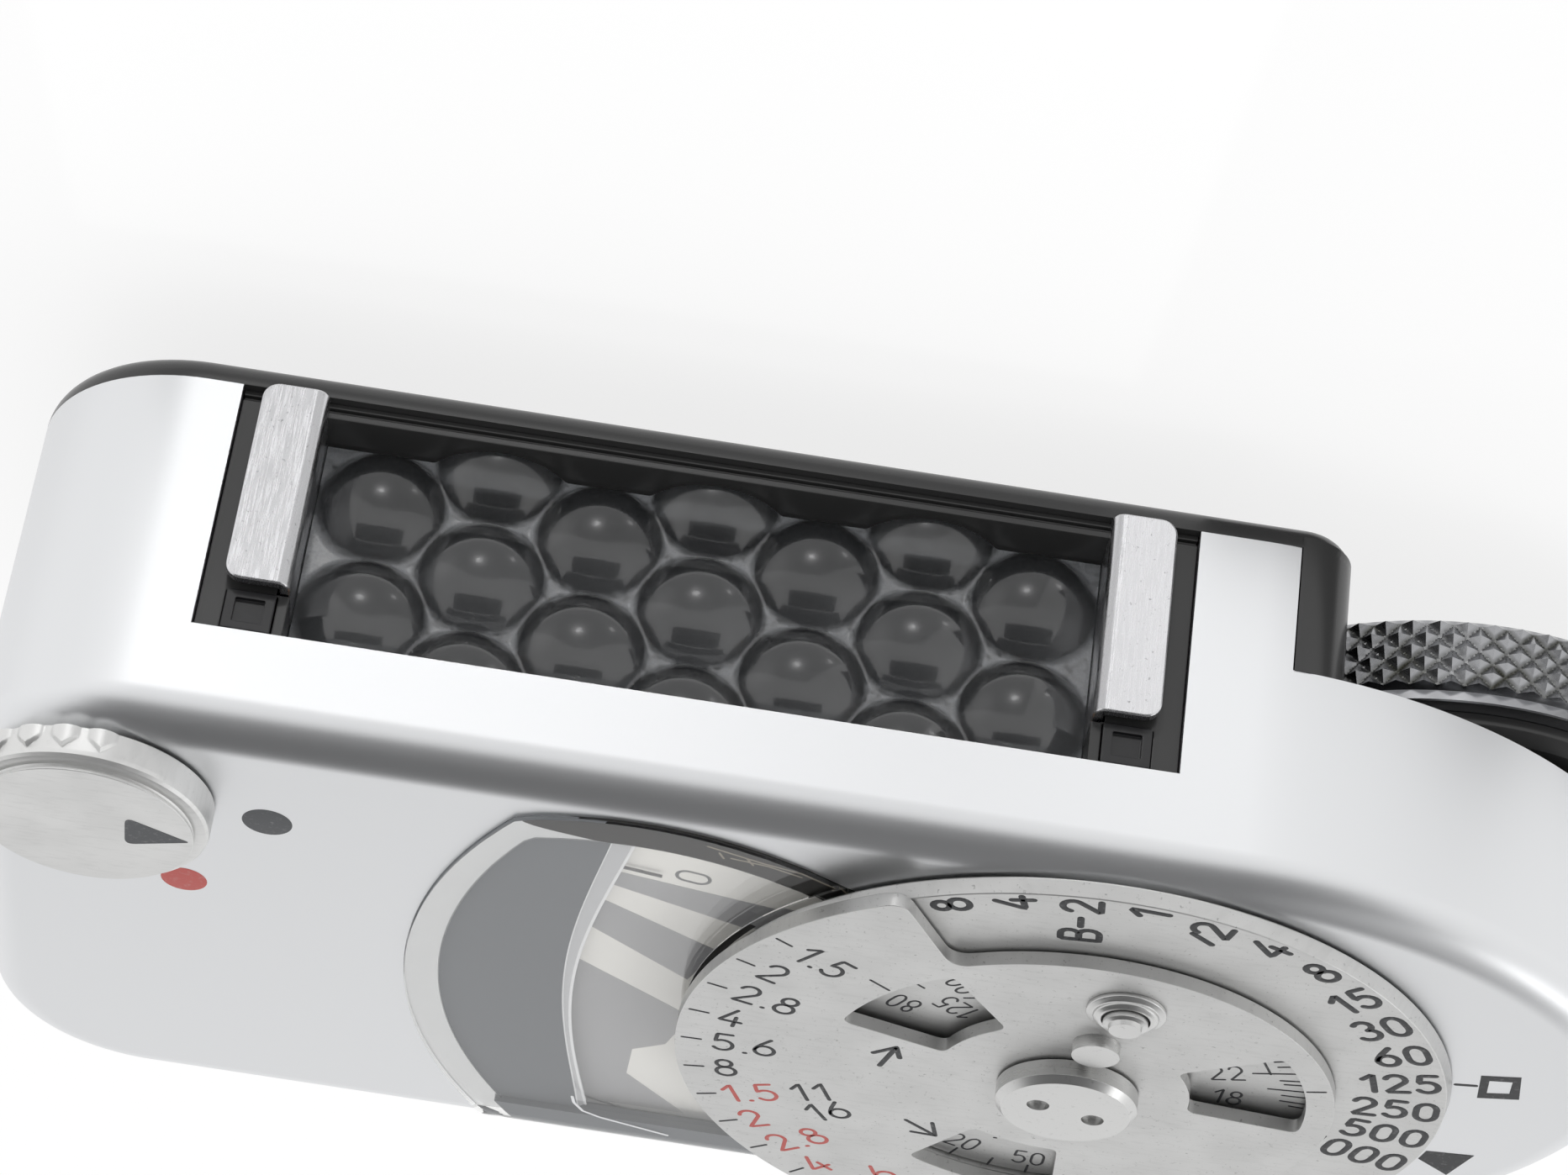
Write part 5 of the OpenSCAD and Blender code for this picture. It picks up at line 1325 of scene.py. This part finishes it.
class MarksBuild(bpy.types.Operator):
    """Dots and index marks engraved in the cover"""

    bl_idname = "meter.build_marks"
    bl_label = "Marks"

    # Corners from the dial's middle
    square = ((16.70, 4.06), (18.32, 4.44), (18.68, 2.41), (16.98, 2.00))
    square_hole = ((17.13, 3.72), (18.07, 3.91), (18.17, 2.79), (17.27, 2.55))
    wedge = ((16.06, -3.77), (18.09, -3.53), (17.36, -5.81), (15.88, -4.63))

    def execute(self, context):
        colours = context.scene.meter_colours
        for name, place, radius, fill in (("dot_black", (-14.3, 10.1), 1.03, "grey_fill"),
                                          ("dot_red", (-17.8, 4.0), 0.97, "red_fill")):
            dot = turned([(0, TOP - 0.05), (radius, TOP - 0.05), (radius, TOP + 0.005), (radius - 0.1, TOP + 0.015),
                          (0, TOP + 0.015)], place, 64, closed=False)
            piece(name, dot, "housing", paint(colours, fill))
        forms = [bead(tick(16.16, 16.97, 10.4), 0.22, TOP, 0.015),
                 rim_form(DIAL + np.array(self.square), DIAL + np.array(self.square_hole), TOP - 0.03, TOP + PRINT),
                 prism(DIAL + np.array(self.wedge), TOP - 0.03, TOP + PRINT)]
        piece("index_marks", joined(forms), "housing", paint(colours, "black_fill"))
        return {"FINISHED"}


class WheelBuild(bpy.types.Operator):
    """Knurled coupling wheel with its black disc"""

    bl_idname = "meter.build_wheel"
    bl_label = "Coupling wheel"

    def execute(self, context):
        wheel, colours = context.scene.meter_wheel, context.scene.meter_colours
        self.rim(wheel, colours)
        kept("wheel_disc", shared("black_plastic", black_plastic, colours), 0.06)
        return {"FINISHED"}

    def rim(self, wheel, colours):
        """Ring whose outer wall is R - depth * (1 - min(u, v)), where u and v are triangle waves along the two helices
        of the knurl, so each diamond is a small pyramid."""
        z0, z1 = low("coupling_wheel")[2], high("coupling_wheel")[2]
        radius, bore, recess = high("coupling_wheel")[0] - WHEEL[0], 1.5, 10.4
        knurl_top, web = z1 - 0.6, z1 - 1.0
        steps = 12 * wheel.diamonds
        band = np.linspace(z0 + 0.3, knurl_top, 8 * wheel.rows + 1)
        profile = [(bore, web), (recess, web), (recess, z0), (radius - 0.5, z0)]
        profile += [(radius, z) for z in band]
        profile += [(radius - 0.45, knurl_top + 0.05), (radius - 0.6, knurl_top + 0.12), (radius - 0.6, z1 - 0.06),
                    (radius - 0.66, z1), (bore, z1)]
        points, faces = turned(profile, WHEEL, steps)
        shape = points.reshape(len(profile), steps, 3)
        rows = slice(4, 4 + len(band))
        turn = np.linspace(0, wheel.diamonds, steps, endpoint=False)[None, :]
        rise = ((band - band[0]) / (band[-1] - band[0]) * wheel.rows / 2)[:, None]
        u, v = np.abs((turn + rise) % 1 - 0.5) * 2, np.abs((turn - rise) % 1 - 0.5) * 2
        valley = 1 - np.minimum(1 - u, 1 - v)
        share = 1 - mm(wheel.depth) / radius * valley
        shape[rows, :, :2] = WHEEL + (shape[rows, :, :2] - WHEEL) * share[..., None]

        def groove(place):
            """How deep a point lies in the knurl, from 0 on a tip to 1 in a groove."""
            reach = np.hypot(place[:, 0] - WHEEL[0], place[:, 1] - WHEEL[1])
            inside = (place[:, 2] > z0 + 0.2) & (place[:, 2] < knurl_top + 0.02)
            return np.where(inside, np.clip((radius - reach) / mm(wheel.depth), 0, 1), 0.1)

        piece("knurled_rim", (shape.reshape(-1, 3), faces), "wheel", knurled_chrome(colours),
              ["coupling_wheel"], angle=28, attribute=("groove", groove))


class InsideBuild(bpy.types.Operator):
    """Foot, screws, movement, gears and the other pieces kept from the frame"""

    bl_idname = "meter.build_inside"
    bl_label = "Foot and inside"

    def execute(self, context):
        colours = context.scene.meter_colours
        finishes = {
            "brass": worked_metal("milled_brass", linear("C9A24F"), 0.32, 0.3),
            "spring_bronze": worked_metal("rolled_bronze", linear("C08A50"), 0.28, 0.4, (0.3, 3, 1)),
            "steel": worked_metal("plated_steel", linear("BDBBB4"), 0.30, 0.35),
            "magnet_steel": worked_metal("ground_magnet_steel", linear("6F7176"), 0.38, 0.25, (1, 1, 6)),
            "aluminium": worked_metal("formed_aluminium", linear("D5D6D6"), 0.34, 0.4),
            "copper": worked_metal("wound_copper", linear("B8643A"), 0.35, 0.1, (1, 1, 8)),
            "board": dull_stuff("fibre_board", linear("6E4A2C"), 0.6, 0.3),
            "ceramic": dull_stuff("resistor_body", linear("B09A6A"), 0.45, 0.4),
            "red_lead": dull_stuff("lead_insulation", linear("A0281E"), 0.4, 0.5),
            "needle_black": dull_stuff("black_lacquer", linear("161618"), 0.4, 0.3),
            "black_paint": black_paint(colours),
        }
        for part in frame["record"]["subparts"]:
            node, slot = part["node"], part["material_slot"]
            if slot in finishes and not frame["nodes"][node].modifiers:
                kept(node, finishes[slot])
        kept("shoe_foot", finishes["steel"], 0.15)
        return {"FINISHED"}


STEPS = (StageBuild, CoverBuild, BaseBuild, FrontWindowBuild, NeedleWindowBuild, DialBuild, KnobBuild, MarksBuild,
         WheelBuild, InsideBuild)


class MeterPanel(bpy.types.Panel):
    """Lists the steps and the sizes in the sidebar"""

    bl_idname = "VIEW3D_PT_light_meter"
    bl_label = "Light Meter"
    bl_space_type = "VIEW_3D"
    bl_region_type = "UI"
    bl_category = "Light Meter"

    def draw(self, context):
        for step in STEPS:
            self.layout.operator(step.bl_idname)
        for holder, group in GROUPS.items():
            box = self.layout.box()
            box.label(text=holder.replace("meter_", "").replace("_", " ").capitalize())
            for name in group.__annotations__:
                box.prop(getattr(context.scene, holder), name)


GROUPS = {"meter_body": MeterBody, "meter_needle_window": MeterNeedleWindow, "meter_dial": MeterDial,
          "meter_wheel": MeterWheel, "meter_colours": MeterColours}


def register():
    """Registers the classes and gives the scene its property groups."""
    for cls in (*GROUPS.values(), *STEPS, MeterPanel):
        bpy.utils.register_class(cls)
    for holder, group in GROUPS.items():
        setattr(bpy.types.Scene, holder, PointerProperty(type=group))


def unregister():
    """Takes the property groups and the classes away again."""
    for holder in GROUPS:
        delattr(bpy.types.Scene, holder)
    for cls in reversed((*GROUPS.values(), *STEPS, MeterPanel)):
        bpy.utils.unregister_class(cls)


def main():
    """Runs every step in order."""
    register()
    for step in STEPS:
        group, name = step.bl_idname.split(".")
        getattr(getattr(bpy.ops, group), name)()


if __name__ == "__main__":
    main()
